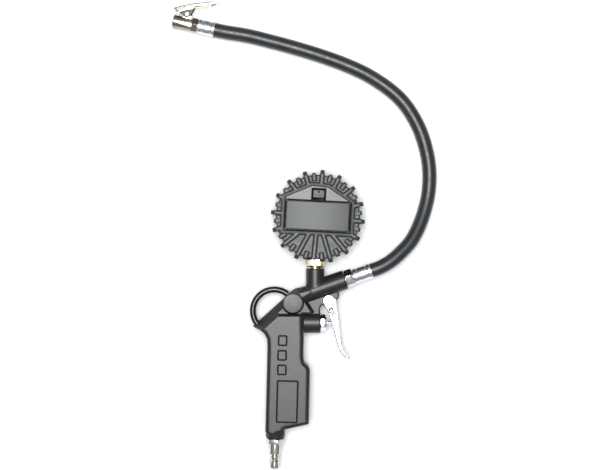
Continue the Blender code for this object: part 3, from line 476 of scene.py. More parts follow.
def board_green():
    look = Look("board_solder_mask", (0.01, 0.10, 0.03), 0.35)
    look.vary_colour(look.noise(1.2, 1, (1, 0.15, 1)), (0.008, 0.085, 0.03), (0.02, 0.16, 0.05))
    look.relief(look.noise(0.8, 1, (0.15, 1, 1)), 0.03, 0.6)
    return look.material


def make_looks():
    zinc_dark, zinc_light = (0.72, 0.75, 0.79), (0.90, 0.92, 0.94)
    nickel_dark, nickel_light = (0.58, 0.53, 0.46), (0.76, 0.72, 0.65)
    return {
        "body": varied(
            "powder_coat_black", (0.013, 0.014, 0.013), 0.38,
            (0.7, 2, (0.006, 0.007, 0.006), (0.022, 0.024, 0.022)), (0.9, 3, 0.33, 0.44),
            [(1.7, 2, 0.022, 0.6), (0.6, 2, 0.030, 0.8)]),
        "loop": varied(
            "loop_gloss_black", (0.006, 0.006, 0.006), 0.24,
            sheen=(3.0, 3, 0.21, 0.28), reliefs=[(4.0, 2, 0.01, 0.4)]),
        "boot": varied(
            "boot_rubber", (0.03, 0.032, 0.03), 0.46,
            (9.0, 4, (0.024, 0.027, 0.025), (0.038, 0.041, 0.038)), (5.0, 3, 0.42, 0.52),
            [(0.35, 2, 0.010, 0.6), (7.0, 2, 0.05, 0.3)], Specular_IOR_Level=0.62),
        "hose": varied(
            "hose_rubber", (0.016, 0.018, 0.019), 0.38,
            (14.0, 4, (0.010, 0.012, 0.013), (0.020, 0.022, 0.023)), (4.0, 4, 0.33, 0.46),
            [(0.7, 3, 0.02, 0.5), (9.0, 2, 0.08, 0.3)], Specular_IOR_Level=0.65),
        "seal": varied(
            "seal_rubber", (0.012, 0.012, 0.012), 0.5,
            sheen=(1.5, 3, 0.42, 0.6), reliefs=[(0.4, 2, 0.01, 0.5)]),
        "case": moulded_plastic(
            "case_plastic", (0.045, 0.049, 0.046), (0.060, 0.064, 0.061), 0.37, 0.43, shine=0.66),
        "door": moulded_plastic(
            "door_plastic", (0.036, 0.040, 0.037), (0.048, 0.052, 0.049), 0.38, 0.44, shine=0.46),
        "button": moulded_plastic(
            "button_rubber", (0.20, 0.21, 0.21), (0.25, 0.26, 0.26), 0.55, 0.65, grain=0.3),
        "nickel": metal("nickel_plate", nickel_dark, nickel_light, 0.16, 0.30),
        "nickel_turned": metal(
            "nickel_turned", nickel_dark, nickel_light, 0.14, 0.26, stretch=(0.05, 1, 0.05), grain=0.3),
        # The chuck body's nickel is darker than the other nickel parts: a painted dark reflection, standing
        # in for the dark surroundings that the real barrel reflects.
        "chuck_nickel_painted_reflection": metal("nickel_painted_dark_reflection", (0.32, 0.28, 0.23), (0.52, 0.47, 0.41), 0.16, 0.26),
        "lever_nickel": metal(
            "nickel_bright", (0.50, 0.46, 0.40), (0.68, 0.64, 0.58), 0.08, 0.14, depth=0.004),
        "zinc": metal("zinc_plate", zinc_dark, zinc_light, 0.14, 0.28),
        "zinc_turned": metal(
            "zinc_turned", zinc_dark, zinc_light, 0.24, 0.34, stretch=(1, 0.05, 0.05), grain=0.3),
        "chrome": metal(
            "bright_plate", (0.82, 0.84, 0.87), (0.95, 0.96, 0.97), 0.10, 0.20, stretch=(1, 0.2, 1)),
        "brass": metal(
            "machined_brass", (0.78, 0.62, 0.36), (0.92, 0.79, 0.54), 0.18, 0.30,
            stretch=(0.05, 1, 0.05), grain=0.3),
        "spring": metal("spring_steel", (0.40, 0.40, 0.41), (0.60, 0.60, 0.61), 0.22, 0.34),
        "board": board_green(),
        "cell": varied(
            "cell_sleeve", (0.25, 0.26, 0.28), 0.3,
            (8.0, 3, (0.20, 0.21, 0.23), (0.30, 0.31, 0.33)), (2.0, 3, 0.25, 0.38), metallic=0.6),
        "acrylic": varied(
            "clear_acrylic", (0.93, 0.96, 0.95), 0.05,
            sheen=(10.0, 2, 0.03, 0.08), Transmission_Weight=1.0, IOR=1.49),
        "display": varied(
            "blank_display", (0.34, 0.39, 0.30), 0.2,
            (18.0, 2, (0.32, 0.37, 0.29), (0.37, 0.42, 0.33)), reliefs=[(0.3, 1, 0.004, 0.4)]),
    }


def piece(obj, look, body, slot, *nodes, sharp=38):
    """Makes a finished piece of obj: material, smooth shading, body, and the CAD nodes that it stands for."""
    obj.data.materials.clear()
    obj.data.materials.append(LOOKS[look])
    obj.data.shade_smooth()
    obj.data.set_sharp_from_angle(angle=math.radians(sharp))
    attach(obj, body)
    if nodes:
        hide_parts(*nodes)
    return obj


def keep_flats_flat(obj):
    """Weights smooth shading by face area, so that a pressed part's flats don't shade as if curved."""
    obj.modifiers.new("normals", "WEIGHTED_NORMAL").keep_sharp = True
    return apply_modifiers(obj)


def restyle(look, *nodes):
    """Gives CAD nodes that stay, inside the tool, a procedural material."""
    for node in nodes:
        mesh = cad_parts[node].data
        mesh.materials.clear()
        mesh.materials.append(LOOKS[look])


# ---------------------------------------------------------------- gun body
def edge_wedges(start, end, low, inset, past_start, past_end):
    """Cutters, for both sides, of a flat chamfer along an edge of the head.

    The chamfer leaves the edge at height low and is inset wide, in plan, at the grip's side face.
    """
    start, end = Vector(start), Vector(end)
    along = (end - start).normalized()
    out = Vector((-along.y, along.x))
    high, outside = 14.5, 12.0
    widest = inset * (high - low) / (GRIP_HALF - low)
    section = ((0.0, low), (-widest, high), (outside, high), (outside, low))
    ends = (start - along * past_start, end + along * past_end)
    corners = [(where + out * across, z) for where in ends for across, z in section]
    return [hull("wedge", GUN, [(*point, side * z) for point, z in corners]) for side in (-1, 1)]


def slope_wedges():
    return edge_wedges((-49.9, -6.0), (-12.7, 27.8), 0.8, 8.2, 6.0, 20.0)


def foot_wedges():
    """Cutters that lower the corner beside the inlet from the grip's side faces to the inlet pipe."""
    corners = ((-30.0, -99.4, 12.6), (-20.0, -97.5, 7.5), (-20.0, -112.0, 7.5), (-30.0, -112.0, 12.6))
    high = 16.0
    return [hull("wedge", GUN, [(x, y, side * height) for x, y, z in corners for height in (z, high)])
            for side in (-1, 1)]


def grip_grooves():
    """V-shaped grooves round the three square pads and the panel, on both sides of the grip."""
    squares = [(-27.1, -22.8, -18.4, -12.9), (-27.6, -35.9, -18.9, -26.1), (-27.8, -48.8, -19.1, -39.1)]
    panel = (-28.5, -91.4, -8.9, -53.1)
    half_width, cutter_r, corner_r = 0.78, 1.3, 0.9
    found = []
    for box in [*squares, panel]:
        middle = ((box[0] + box[2]) / 2, (box[1] + box[3]) / 2)
        tilted = GUN @ spot(*middle, 0, GRIP_LEAN) @ spot(-middle[0], -middle[1])
        line = fillet(shrunk(box, half_width), corner_r)
        for side in (-1, 1):
            z = side * (GRIP_HALF + cutter_r - half_width)
            found.append(wire("groove", tilted, [(x, y, z) for x, y in line], cutter_r, 0, cyclic=True))
    return found


def make_grip():
    """The grip up to the ledge below the head, its corners chamfered."""
    grip = plate("gun_casting", GUN, fillet([
        (-50.0, -6.0), (-43.5, -8.6), (-39.2, -12.2), (-36.8, -17.0), (-36.5, -24.0), (-38.4, -99.5),
        (-35.6, -103.5), (-22.0, -103.5), (-21.3, -97.8), (0.7, -92.9), (1.7, -44.7), (0.3, -41.2),
        (-3.3, -38.0), (-4.2, -33.4), (-3.9, -17.0), (-4.3, -8.0), (-4.6, 12.0), (-30.2, 12.0)],
        [0.2, 0, 3, 3, 0, 1, 2, 1, 1, 1.5, 2, 2, 3, 3, 0, 2, 0, 0]), -GRIP_HALF, GRIP_HALF, 3.9, 5)
    across = Matrix(((0, 0, 1, 0), (1, 0, 0, 0), (0, 1, 0, 0), (0, 0, 0, 1)))
    rim, foot = LEDGE_Y - 1.3, LEDGE_Y + 0.9
    above_ledge = [(30, -CLEAR), (30, CLEAR), (rim, CLEAR), (rim, GRIP_HALF), (foot, HEAD_HALF - 0.4),
                   (foot, 0.4 - HEAD_HALF), (rim, -GRIP_HALF), (rim, -CLEAR)]
    cut(grip, plate("above_ledge", GUN @ across, above_ledge, -60, CLEAR), *slope_wedges(), *foot_wedges(),
        solver="MANIFOLD")
    return grip


def make_head():
    head = plate("head", GUN, [
        (-49.9, -6.0), (-12.7, 27.8), (2.4, 31.6), (2.8, 23.9), (-0.9, 18.6), (-4.6, 16.9), (-0.7, 16.6),
        (4.9, 7.7), (3.6, 6.2), (-6.0, 6.2), (-7.0, -2.0), (-34.0, -2.0)], -HEAD_HALF, HEAD_HALF, 0.8, 3)
    return cut(head, *slope_wedges(), *edge_wedges((-12.7, 27.8), (2.4, 31.6), 2.5, 6.8, 2.0, 0.5),
               *edge_wedges((-0.7, 16.6), (4.9, 7.7), WEB_HALF, 4.0, 5.0, 3.0), solver="MANIFOLD")


def make_web():
    """The thin web between barrel and valve housing that carries the trigger's pin."""
    return plate("web", GUN, fillet([
        (-3.0, 20.0), (0.0, 3.0), (10.5, 3.0), (10.8, 11.0), (12.4, 13.6), (15.4, 12.6), (20.0, 12.2),
        (24.6, 16.4), (27.4, 20.0), (28.1, 22.6), (26.0, 27.0), (16.0, 26.0)], 1.6),
        -WEB_HALF, WEB_HALF, 1.0, 3)


def make_barrel():
    """The barrel, cut off where it would come out past the head's shoulder."""
    run = math.cos(BARREL_RISE)
    barrel = lathe("barrel", BARREL, (0, 0, 0), (-1, 0, 0), [
        (0, 0), (8.3, 0), (8.8, 0.5), (8.8, 38 / run), (0, 40 / run)], soften=0.4)
    past_shoulder = [(-16.0, 40.0), (-16.0, 26.4), (-12.7, 27.2), (-1.8, 29.9), (-1.8, 40.0)]
    return cut(barrel, plate("past_shoulder", GUN, past_shoulder, -CLEAR, CLEAR))


def cap_grooves():
    """Grooves round the side caps' seats, sloping out to the head's side faces."""
    inner, outer = CAP_R - 0.8, CAP_R + 1.2
    profile = [(inner, 6.4), (CAP_R + 0.1, 6.4), (outer, HEAD_HALF), (outer, 14), (inner, 14)]
    return [lathe(f"cap_groove_{side}", GUN, (*JUNCTION, 0), (0, 0, side), profile, soften=0)
            for side in (-1, 1)]


def make_side_caps():
    r = CAP_R - 0.2
    profile = [(0, 4.5), (5.0, 4.5), (5.0, 7.6), (r, 7.6), (r, 11.6), (CAP_R - 0.6, 12.1), (0, 12.1)]
    sides = (("side_cap_top", "side_cap_upper", 1), ("side_cap_bottom", "side_cap_lower", -1))
    for name, node, side in sides:
        cap = lathe(name, GUN, (*JUNCTION, 0), (0, 0, side), profile, soften=0.3)
        piece(cap, "body", "gun", "body_black", node)


def make_gun_body():
    """The casting: grip, head, web, barrel, gauge port, valve housing and inlet pipe in one skin."""
    grip = make_grip()
    others = [
        make_head(),
        make_web(),
        make_barrel(),
        lathe("port", GUN, (*GAUGE_PORT, 0), (0, -1, 0), [(0, 0), (7.9, 0), (8.35, 0.5), (8.35, 20), (0, 20)],
              soften=0.3),
        lathe("housing", GUN, (11.0, VALVE_Y, 0), (-1, 0, 0),
              [(0, 0), (8.8, 0), (9.3, 0.5), (9.3, 25), (0, 25)], soften=0.4),
        lathe("pipe", GRIP, (0, 0, 0), (0, 1, 0), [(0, 0), (8.0, 0), (8.65, 0.7), (8.65, 42), (0, 46)],
              soften=0.5),
    ]
    body = cast(grip, others, voxel=0.42, passes=4, kept=0.4)
    cut(body, *grip_grooves(), *cap_grooves(), solver="MANIFOLD")
    piece(body, "body", "gun", "body_black", "gun_body", sharp=45)


def make_hanging_loop():
    points = [(x, y, 0) for x, y in arc(LOOP_CENTRE, LOOP_R, 51, 221, 72)]
    piece(wire("loop_bar", GUN, points, LOOP_WIRE_R, 10), "loop", "gun", "loop_black", "hanging_loop")


def make_inlet():
    """Quick-coupler plug with its nut and sealing ring."""
    plug = lathe("coupler_plug", GRIP, ORIGIN, DOWN, [
        (2.4, -3.0), (5.9, -3.0), (5.9, 1.2), (5.2, 5.4), (5.2, 14.4), (4.6, 15.0), (3.4, 15.5),
        (4.0, 16.6), (4.0, 18.2), (3.4, 19.6), (5.0, 20.8), (5.4, 21.2), (5.0, 21.7), (3.8, 22.1),
        (4.2, 22.8), (4.2, 27.1), (3.5, 27.8), (2.4, 27.8)], soften=0.25)
    join(plug, hexagon("inlet_nut", GRIP, ORIGIN, DOWN, HEX_16, 1.2, 5.6, turned_by=NUT_TURN))
    piece(plug, "nickel_turned", "gun", "nickel", "inlet_plug")
    ring = washer("inlet_washer", GRIP, DOWN, 6.3, 7.8, 0.1)
    piece(ring, "seal", "gun", "seal_rubber", "inlet_seal_ring")


def make_valve():
    """Gland nut, sliding stem and the spring behind it, on the housing's axis."""
    base = (0, VALVE_Y, 0)
    nut = lathe("gland_bush", GUN, base, OUT, [
        (1.6, 5.6), (5.8, 5.6), (5.8, 11.2), (5.9, 11.2), (5.9, 15.4), (5.4, 16.2), (1.6, 16.4)], soften=0.25)
    join(nut, hexagon("gland_nut", GUN, base, OUT, HEX_15, 11.3, 15.6))
    piece(nut, "chrome", "gun", "zinc", "valve_gland_nut")
    stem = lathe("valve_rod", GUN, base, OUT, [
        (0, -24.2), (3.9, -24.2), (3.9, -22.6), (1.3, -22.6), (1.3, 25.6), (0.8, 26.2), (0, 26.2)])
    piece(stem, "zinc_turned", "valve", "zinc", "valve_stem")
    bar_r, first, last = 0.45, -35.1, -25.1
    spring = wire("valve_coil", GUN, coil_points((VALVE_Y, 0), first, last, 3.4, 5.5), bar_r, 4)
    piece(spring, "spring", "gun", "spring_steel", "valve_spring")
    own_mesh(spring)
    restyle("brass", "valve_seat")
    restyle("seal", "poppet_seal", "gland_o_ring")


def trigger_edges():
    """The lever's outline in plan, down its front and back up its rear."""
    front = [(25.0, 18.4), (25.4, 14.4), (26.3, 10.0), (27.9, -2.3), (29.3, -14.6), (30.8, -23.2),
             (32.8, -28.4), (35.6, -32.0), (38.4, -34.2)]
    rear = [(37.4, -35.2), (34.0, -33.4), (30.6, -30.4), (28.0, -26.4), (25.6, -18.5), (23.3, -9.8),
            (21.0, -2.3), (18.6, 6.0), (15.4, 12.2)]
    return front, rear


def trigger_stampings():
    """Cutters of two hollows, one running into the other, pressed into each cheek below the pin."""
    lean, depth, centre_z = math.radians(15), 2.2, 7.5
    found = []
    for side in (-1, 1):
        for x, y, half_width, half_length in ((22.9, 3.6, 2.3, 9.0), (20.7, 8.6, 2.9, 4.2)):
            size = Matrix.Diagonal((half_width, half_length, depth, 1))
            place = GUN @ spot(x, y, side * centre_z, lean) @ size
            found.append(from_bmesh("stamping", place, lambda bm: bmesh.ops.create_uvsphere(
                bm, u_segments=48, v_segments=24, radius=1.0)))
    return found


def make_trigger():
    """Pressed channel: two cheeks on the pin, and the curved finger plate between them."""
    sheet, cheek_inside = 1.3, 5.0
    front, rear = trigger_edges()
    hub = arc(TRIGGER_PIVOT, 5.4, 205, 40, 24)
    lever = plate("trigger_blade", GUN, fillet(front + rear, 2.5, closed=False) + hub,
                  -TRIGGER_HALF, TRIGGER_HALF, 0.95, 4)
    cut(lever, *trigger_stampings())
    behind_plate = [(x - sheet, y) for x, y in front[2:]]
    hollow = [(40.0, 30.0), (40.0, 13.2), (24.3, 13.2), *behind_plate,
              (30.0, -40.0), (0.0, -10.0), (0.0, 30.0)]
    cut(lever, plate("hollow", GUN, hollow, -cheek_inside, cheek_inside),
        rod("hole", GUN, (*TRIGGER_PIVOT, -9), (*TRIGGER_PIVOT, 9), 2.1))
    bevel(lever, 0.2, 2, 40)
    piece(lever, "chrome", "trigger", "zinc", "trigger_lever")
    head = [(0, 7.4), (2.2, 7.4), (2.8, 6.9), (2.8, 6.4), (1.8, 6.4)]
    pin = rivet("trigger_rivet", GUN, TRIGGER_PIVOT, head)
    piece(pin, "nickel", "gun", "nickel", "trigger_pin")


# ---------------------------------------------------------------- gauge
def fin_angle(i, offset=0.0):
    return math.pi / 2 + FIN_TURN + TAU * (i + offset) / FIN_COUNT


def reach(outline, angle):
    """Distance from the gauge's centre to a convex outline, in a direction."""
    ray = Vector((math.cos(angle), math.sin(angle)))
    found = []
    for i, point in enumerate(outline):
        a, b = Vector(outline[i - 1]), Vector(point)
        edge = b - a
        spread = ray.x * edge.y - ray.y * edge.x
        if abs(spread) < 1e-9:
            continue
        along = (a.x * edge.y - a.y * edge.x) / spread
        share = (a.x * ray.y - a.y * ray.x) / spread
        if along > 0 and -1e-6 <= share <= 1 + 1e-6:
            found.append(along)
    return min(found)


def side_fin(angle, rib_end, tip, rib_half, foot, top):
    """A ridge down the drum's side, wider at its foot, that slopes in to the rib on the drum's back."""
    ridge = [(BOOT_BACK + 0.3, rib_end, rib_half, rib_half), (BOOT_BACK - 2.4, tip, foot, top),
             (BOOT_FRONT + 4.0, tip, foot, top), (BOOT_FRONT + 2.8, tip - 1.2, foot, top)]
    points = [(r, way * half, z) for z, out, inner_half, outer_half in ridge
              for r, half in ((BOOT_R - 4.0, inner_half), (out, outer_half)) for way in (-1, 1)]
    return hull("fin", GAUGE @ Matrix.Rotation(angle, 4, "Z"), points)


def back_rib(angle, start, end, half, height):
    """A rib along a radius of the drum's back."""
    section = ((half + 0.5, BOOT_BACK - 0.6), (half - 0.1, BOOT_BACK + height - 0.4),
               (half - 0.7, BOOT_BACK + height))
    points = [(r, way * y, z) for way in (-1, 1) for r in (start, end) for y, z in section]
    return hull("rib", GAUGE @ Matrix.Rotation(angle, 4, "Z"), points)


def tapered(name, outline, *levels):
    """A block on the gauge with sloping sides: a convex outline, grown by a distance at each height."""
    return hull(name, GAUGE, [(x, y, z) for by, z in levels for x, y in grown(outline, by)])


def window_frame():
    """The raised frame round the door, its face sloping down away from the window."""
    return tapered("window_frame", WINDOW,
                   (3.8, BOOT_BACK - 0.8), (3.2, BOOT_BACK + 1.4), (0.2, BOOT_BACK + 1.9))


def fins_and_ribs():
    """Long and short fins round the drum by turns, each with its rib where the window leaves room."""
    rim = grown(WINDOW, 3.0)
    long_end, short_start, short_end = 38.6, 32.2, 38.0
    found = []
    for i in range(FIN_COUNT):
        long_at, short_at = fin_angle(i), fin_angle(i, 0.5)
        found.append(back_rib(long_at, min(reach(rim, long_at) - 1.0, 36.0), long_end, 1.7, 1.5))
        if i != STEM_FIN:
            found.append(side_fin(long_at, long_end, FIN_TIP_R, 1.7, 2.5, 1.75))
        if reach(rim, short_at) < short_start - 0.7:
            found.append(back_rib(short_at, short_start, short_end, 1.8, 1.2))
        found.append(side_fin(short_at, short_end, BOOT_R + 2.0, 1.8, 2.4, 1.7))
    return found


def make_boot():
    """Rubber boot: drum, fins with ribs across its back, and a raised frame round the battery door."""
    face_r, inside_r = 29.2, CASE_R + 0.3
    drum = lathe("rubber_boot", GAUGE, ORIGIN, UP, [
        (face_r, BOOT_FRONT), (33.5, BOOT_FRONT), (BOOT_R - 0.2, BOOT_FRONT + 2.4),
        (BOOT_R, BOOT_FRONT + 4.0), (BOOT_R, BOOT_BACK - 1.2), (BOOT_R - 1.0, BOOT_BACK),
        (0.5, BOOT_BACK), (0.5, CASE_BACK + 0.3), (inside_r, CASE_BACK + 0.3),
        (inside_r, CASE_FRONT - 0.3), (face_r, CASE_FRONT - 0.3)], steps=128, soften=0.4)
    boot = cast(drum, [window_frame(), *fins_and_ribs()], voxel=0.38, passes=2, kept=0.33)
    window = tapered("window", WINDOW, (0.0, CASE_BACK - 2), (0.0, CASE_BACK + 0.2), (1.5, BOOT_BACK + 6))
    cut(boot, window, block("stem_notch", GAUGE, (-8.7, -50, -9.0), (8.7, -30, 9.0), 0.8), solver="MANIFOLD")
    piece(boot, "boot", "gun", "boot_rubber", "gauge_boot", sharp=50)


def make_shell(name, outer):
    """Half of the case: a cup with 2 mm walls between the split and its closed end."""
    sign = 1 if outer > 0 else -1
    split, wall, edge = sign * 0.15, 2, 0.9
    return lathe(name, GAUGE, ORIGIN, UP, [
        (0, outer), (CASE_R - edge, outer), (CASE_R, outer - sign * edge), (CASE_R, split),
        (CASE_R - wall, split), (CASE_R - wall, outer - sign * wall), (0, outer - sign * wall)],
        steps=128, soften=0.4)


def stem_hole():
    return rod("stem_hole", GAUGE, (0, -40, 0), (0, -30, 0), 5.0)


def make_back_shell():
    """The case's half with the battery bay, the door's seat and the latch's pocket."""
    left, bottom, right, top = DOOR
    back = make_shell("back_shell", CASE_BACK)
    join(back,
         block("bay_walls", GAUGE, (left - 1.6, bottom - 1.8, 0.4),
               (right + 1.6, top + 1.8, CASE_BACK - 0.6)),
         block("latch_walls", GAUGE, (-8.2, top - 1.0, 2.6), (7.8, 27.2, CASE_BACK - 0.6)))
    cut(back,
        block("bay", GAUGE, (left + 1.0, bottom + 1.0, 1.8), (right - 1.0, top - 1.0, CLEAR), 0.5),
        plate("door_seat", GAUGE, fillet(rectangle(*DOOR), 1.5), DOOR_FACE - 2.7, CLEAR),
        plate("door_gap", GAUGE, fillet(grown(rectangle(*DOOR), 0.2), 1.8), 4.0, CLEAR,
              holes=[fillet(shrunk(DOOR, 0.7), 2.6)]),
        tapered("door_draft", rectangle(*DOOR),
                (0.2, CASE_BACK - 2.2), (1.2, CASE_BACK), (1.4, CLEAR)),
        tapered("latch_pocket", rectangle(-6.0, top - 3.0, 5.5, 24.9), (-4.2, 3.2), (-0.4, 8.0),
                (0.9, CASE_BACK), (1.1, CLEAR)))
    for x, y in SCREW_SPOTS:
        cut(back, rod("screw_hole", GAUGE, (x, y, 5), (x, y, CLEAR), 1.9, 32),
            rod("screw_sink", GAUGE, (x, y, CASE_BACK - 1.3), (x, y, CLEAR), 2.9, 48))
    cut(back, stem_hole())
    bevel(back, 0.25, 2, 35)
    piece(back, "case", "gun", "case_plastic", "case_back")


def make_front_shell():
    """The case's half with the screw bosses, the display's window and the two button holes."""
    front = make_shell("front_shell", CASE_FRONT)
    for x, y in SCREW_SPOTS:
        join(front, rod("boss", GAUGE, (x, y, CASE_FRONT + 1), (x, y, -0.2), 3.0, 32))
        cut(front, rod("pilot", GAUGE, (x, y, -9.0), (x, y, 3), 1.7, 24))
    cut(front, plate("lcd_window", GAUGE, fillet(rectangle(-20, -6, 20, 15), 1.2), -CLEAR, -10),
        stem_hole())
    for x, y in BUTTON_SPOTS.values():
        cut(front, rod("button_hole", GAUGE, (x, y, -CLEAR), (x, y, -10), BUTTON_R + 0.3, 48))
    bevel(front, 0.25, 2, 35)
    piece(front, "case", "gun", "case_plastic", "case_front")


def make_screws():
    """Cross-recessed pan heads over their shanks."""
    head = CASE_BACK - 1.0
    for i, (x, y) in enumerate(SCREW_SPOTS):
        screw = lathe(f"shell_screw_{i + 1}", GAUGE, (x, y, 0), UP, [
            (0, -8.4), (0.5, -8.4), (1.35, -7.0), (1.35, head), (2.5, head), (2.5, head + 0.5),
            (1.6, head + 1.0), (0, head + 1.0)], steps=48)
        turned = GAUGE @ spot(x, y, 0, 0.4 * i)
        cut(screw, *[block("slot", turned, (-half_x, -half_y, head + 0.3), (half_x, half_y, head + 2))
                     for half_x, half_y in ((1.5, 0.3), (0.3, 1.5))])
        piece(screw, "spring", "gun", "spring_steel", f"case_screw_{i + 1}")


def latch_bridge():
    """The web between the door's edge and its latch, rising towards the latch at the bottom of the pocket."""
    line, thickness = ((DOOR[3] - 2.2, 6.5), (DOOR[3] + 4.6, 10.5)), 1.4
    return hull("latch_bridge", GAUGE, [(x, y, z + rise) for x in (LATCH_LEFT, LATCH_RIGHT) for y, z in line
                                        for rise in (0, thickness)])


def make_battery_door():
    """The door and its latch: a tab that springs on a web down from its end and back to the door."""
    top = DOOR[3]
    door = plate("battery_cover", GAUGE, fillet(shrunk(DOOR, 0.4), 1.7), DOOR_FACE - 2.4, DOOR_FACE, 0.6, 3)
    join(door,
         block("latch_root", GAUGE, (LATCH_LEFT, top - 2.2, 6.5),
               (LATCH_RIGHT, top - 1.0, DOOR_FACE - 1.0)),
         latch_bridge(),
         block("latch_spring", GAUGE, (LATCH_LEFT, top + 3.4, 9.0),
               (LATCH_RIGHT, top + 4.6, DOOR_FACE - 0.6)))
    tab = plate("latch_tab", GAUGE, fillet(rectangle(-5.3, top + 3.4, 4.8, top + 10.1), 1.0),
                DOOR_FACE - 2.0, DOOR_FACE - 0.4, 0.4, 3)
    dot = (-0.3, top + 8.3)
    finger_line = [(x, y, DOOR_FACE - 0.3) for x, y in arc((dot[0], top + 17.0), 11.6, 248, 292, 20)]
    cut(tab, rod("dot", GAUGE, (*dot, DOOR_FACE - 1.8), (*dot, DOOR_FACE + 0.2), 0.1, 32, 1.4),
        wire("finger_line", GAUGE, finger_line, 0.32, 4))
    join(door, tab)
    piece(door, "door", "door", "door_plastic", "battery_door")


def make_display():
    """Lens over the blank display, and the two buttons' caps with their flanges inside the case."""
    inside = CASE_FRONT + 2.3
    lens = plate("dial_lens", GAUGE, fillet(rectangle(-21.8, -8, 21.8, 16.4), 1.0),
                 inside, CASE_FRONT + 3.5, 0.2, 2)
    piece(lens, "acrylic", "gun", "clear_plastic", "lens")
    for node, (x, y) in BUTTON_SPOTS.items():
        key = node.replace("button", "key")
        cap = lathe(key, GAUGE, (x, y, 0), UP, [
            (0, -16.0), (2.2, -16.05), (BUTTON_R - 0.5, -16.3), (BUTTON_R, -15.9),
            (BUTTON_R, inside), (BUTTON_R + 1.0, inside), (BUTTON_R + 1.0, CASE_FRONT + 3.1),
            (2.0, CASE_FRONT + 3.1), (2.0, CASE_FRONT + 4.5), (0, CASE_FRONT + 4.5)],
            steps=64, soften=0.25)
        piece(cap, "button", key, "button_grey", node)
    restyle("display", "lcd_panel")
    restyle("board", "circuit_board")
    restyle("spring", "power_switch", "unit_switch", "contact_plate_left", "contact_plate_right")


def make_cells():
    """Two AAA cells side by side, end for end, with a contact coil at each one's flat end."""
    middle, ends = (DOOR[1] + DOOR[3]) / 2, CELL_END
    for hand, way, edge in (("left", 1, DOOR[0]), ("right", -1, DOOR[2])):
        y = middle - way * CELL_GAP / 2
        cell = lathe(f"cell_{hand}", GAUGE, (CELL_ROW_X, y, CELL_Z), (way, 0, 0), [
            (0, -ends), (4.6, -ends), (5.2, -ends + 0.6), (5.2, ends - 1.6), (4.6, ends - 0.8),
            (1.9, ends - 0.8), (1.9, ends), (0, ends)], steps=64, soften=0.3)
        piece(cell, "cell", "gun", "cell_label", f"battery_{hand}")
        turns = coil_points((y, CELL_Z), edge + way * 2.6, CELL_ROW_X - way * (ends + 0.5), 2.6, 3.0)
        coil = wire(f"contact_coil_{hand}", GAUGE, turns, 0.3, 3)
        piece(coil, "spring", "gun", "spring_steel", f"contact_spring_{hand}")


def make_stem():
    """Brass stem between gauge and gun, with its nut and sealing ring."""
    stem = lathe("brass_stem", GAUGE, ORIGIN, DOWN, [
        (1.2, 29.0), (4.6, 29.0), (4.6, 35.0), (5.9, 35.2), (5.9, 46.3), (5.3, 46.8), (5.3, 52.0),
        (1.2, 52.0)], soften=0.25)
    join(stem, hexagon("stem_nut", GAUGE, ORIGIN, DOWN, HEX_16, 34.8, 43.9))
    piece(stem, "brass", "gun", "brass", "gauge_stem")
    ring = washer("stem_washer", GAUGE, DOWN, 6.0, 7.4, 44.2)
    piece(ring, "seal", "gun", "seal_rubber", "stem_seal_ring")
    restyle("zinc", "pressure_sensor")


# ---------------------------------------------------------------- hose and chuck
def crimped_ferrule(name, place, start, length):
    """Sleeve with its crimp bands and flared lip."""
    end = start + length
    return lathe(name, place, ORIGIN, OUT, [
        (4.9, start), (6.3, start), (6.7, start + 0.5), (6.7, start + 3.6), (6.45, start + 4.0),
        (6.45, start + 5.2), (6.7, start + 5.6), (6.7, end - 4.4), (6.5, end - 4.0), (6.55, end - 3.2),
        (7.05, end - 2.4), (7.1, end - 0.3), (6.95, end), (6.5, end), (6.45, end - 1.4), (4.9, end - 1.8)],
        soften=0.25)


def make_hose_end():
    """Adapter in the barrel's mouth, with its nut, and the ferrule that holds the hose on it."""
    adapter = lathe("adapter_tail", BARREL, ORIGIN, OUT, [
        (2.0, -6.0), (5.9, -6.0), (5.9, 1.0), (4.4, 1.0), (4.4, 8.6), (3.4, 9.2), (3.4, 21.5), (2.0, 21.5)])
    join(adapter, hexagon("adapter_nut", BARREL, ORIGIN, OUT, HEX_16, 0.4, 7.5, turned_by=NUT_TURN))
    piece(adapter, "nickel", "gun", "nickel", "hose_adapter")
    ferrule = crimped_ferrule("ferrule_gun_end", BARREL, 7.9, 16.6)
    piece(ferrule, "zinc_turned", "gun", "zinc", "gun_end_ferrule")


def ease(share):
    share = min(max(share, 0.0), 1.0)
    return share * share * (3 - 2 * share)


def line_length(line):
    return sum((b - a).length for a, b in zip(line, line[1:]))


def catmull_rom(points, per_span=12):
    """A smooth line through points, with centripetal spacing."""
    ends = [points[0] * 2 - points[1], *points, points[-1] * 2 - points[-2]]
    found = []
    for p0, p1, p2, p3 in zip(ends, ends[1:], ends[2:], ends[3:]):
        t1 = (p1 - p0).length ** 0.5
        t2 = t1 + (p2 - p1).length ** 0.5
        t3 = t2 + (p3 - p2).length ** 0.5
        for i in range(per_span):
            t = t1 + (t2 - t1) * i / per_span
            a1 = p0.lerp(p1, t / t1)
            a2 = p1.lerp(p2, (t - t1) / (t2 - t1))
            a3 = p2.lerp(p3, (t - t2) / (t3 - t2))
            b1 = a1.lerp(a2, t / t2)
            b2 = a2.lerp(a3, (t - t1) / (t3 - t1))
            found.append(b1.lerp(b2, (t - t1) / (t2 - t1)))
    return found + [points[-1]]


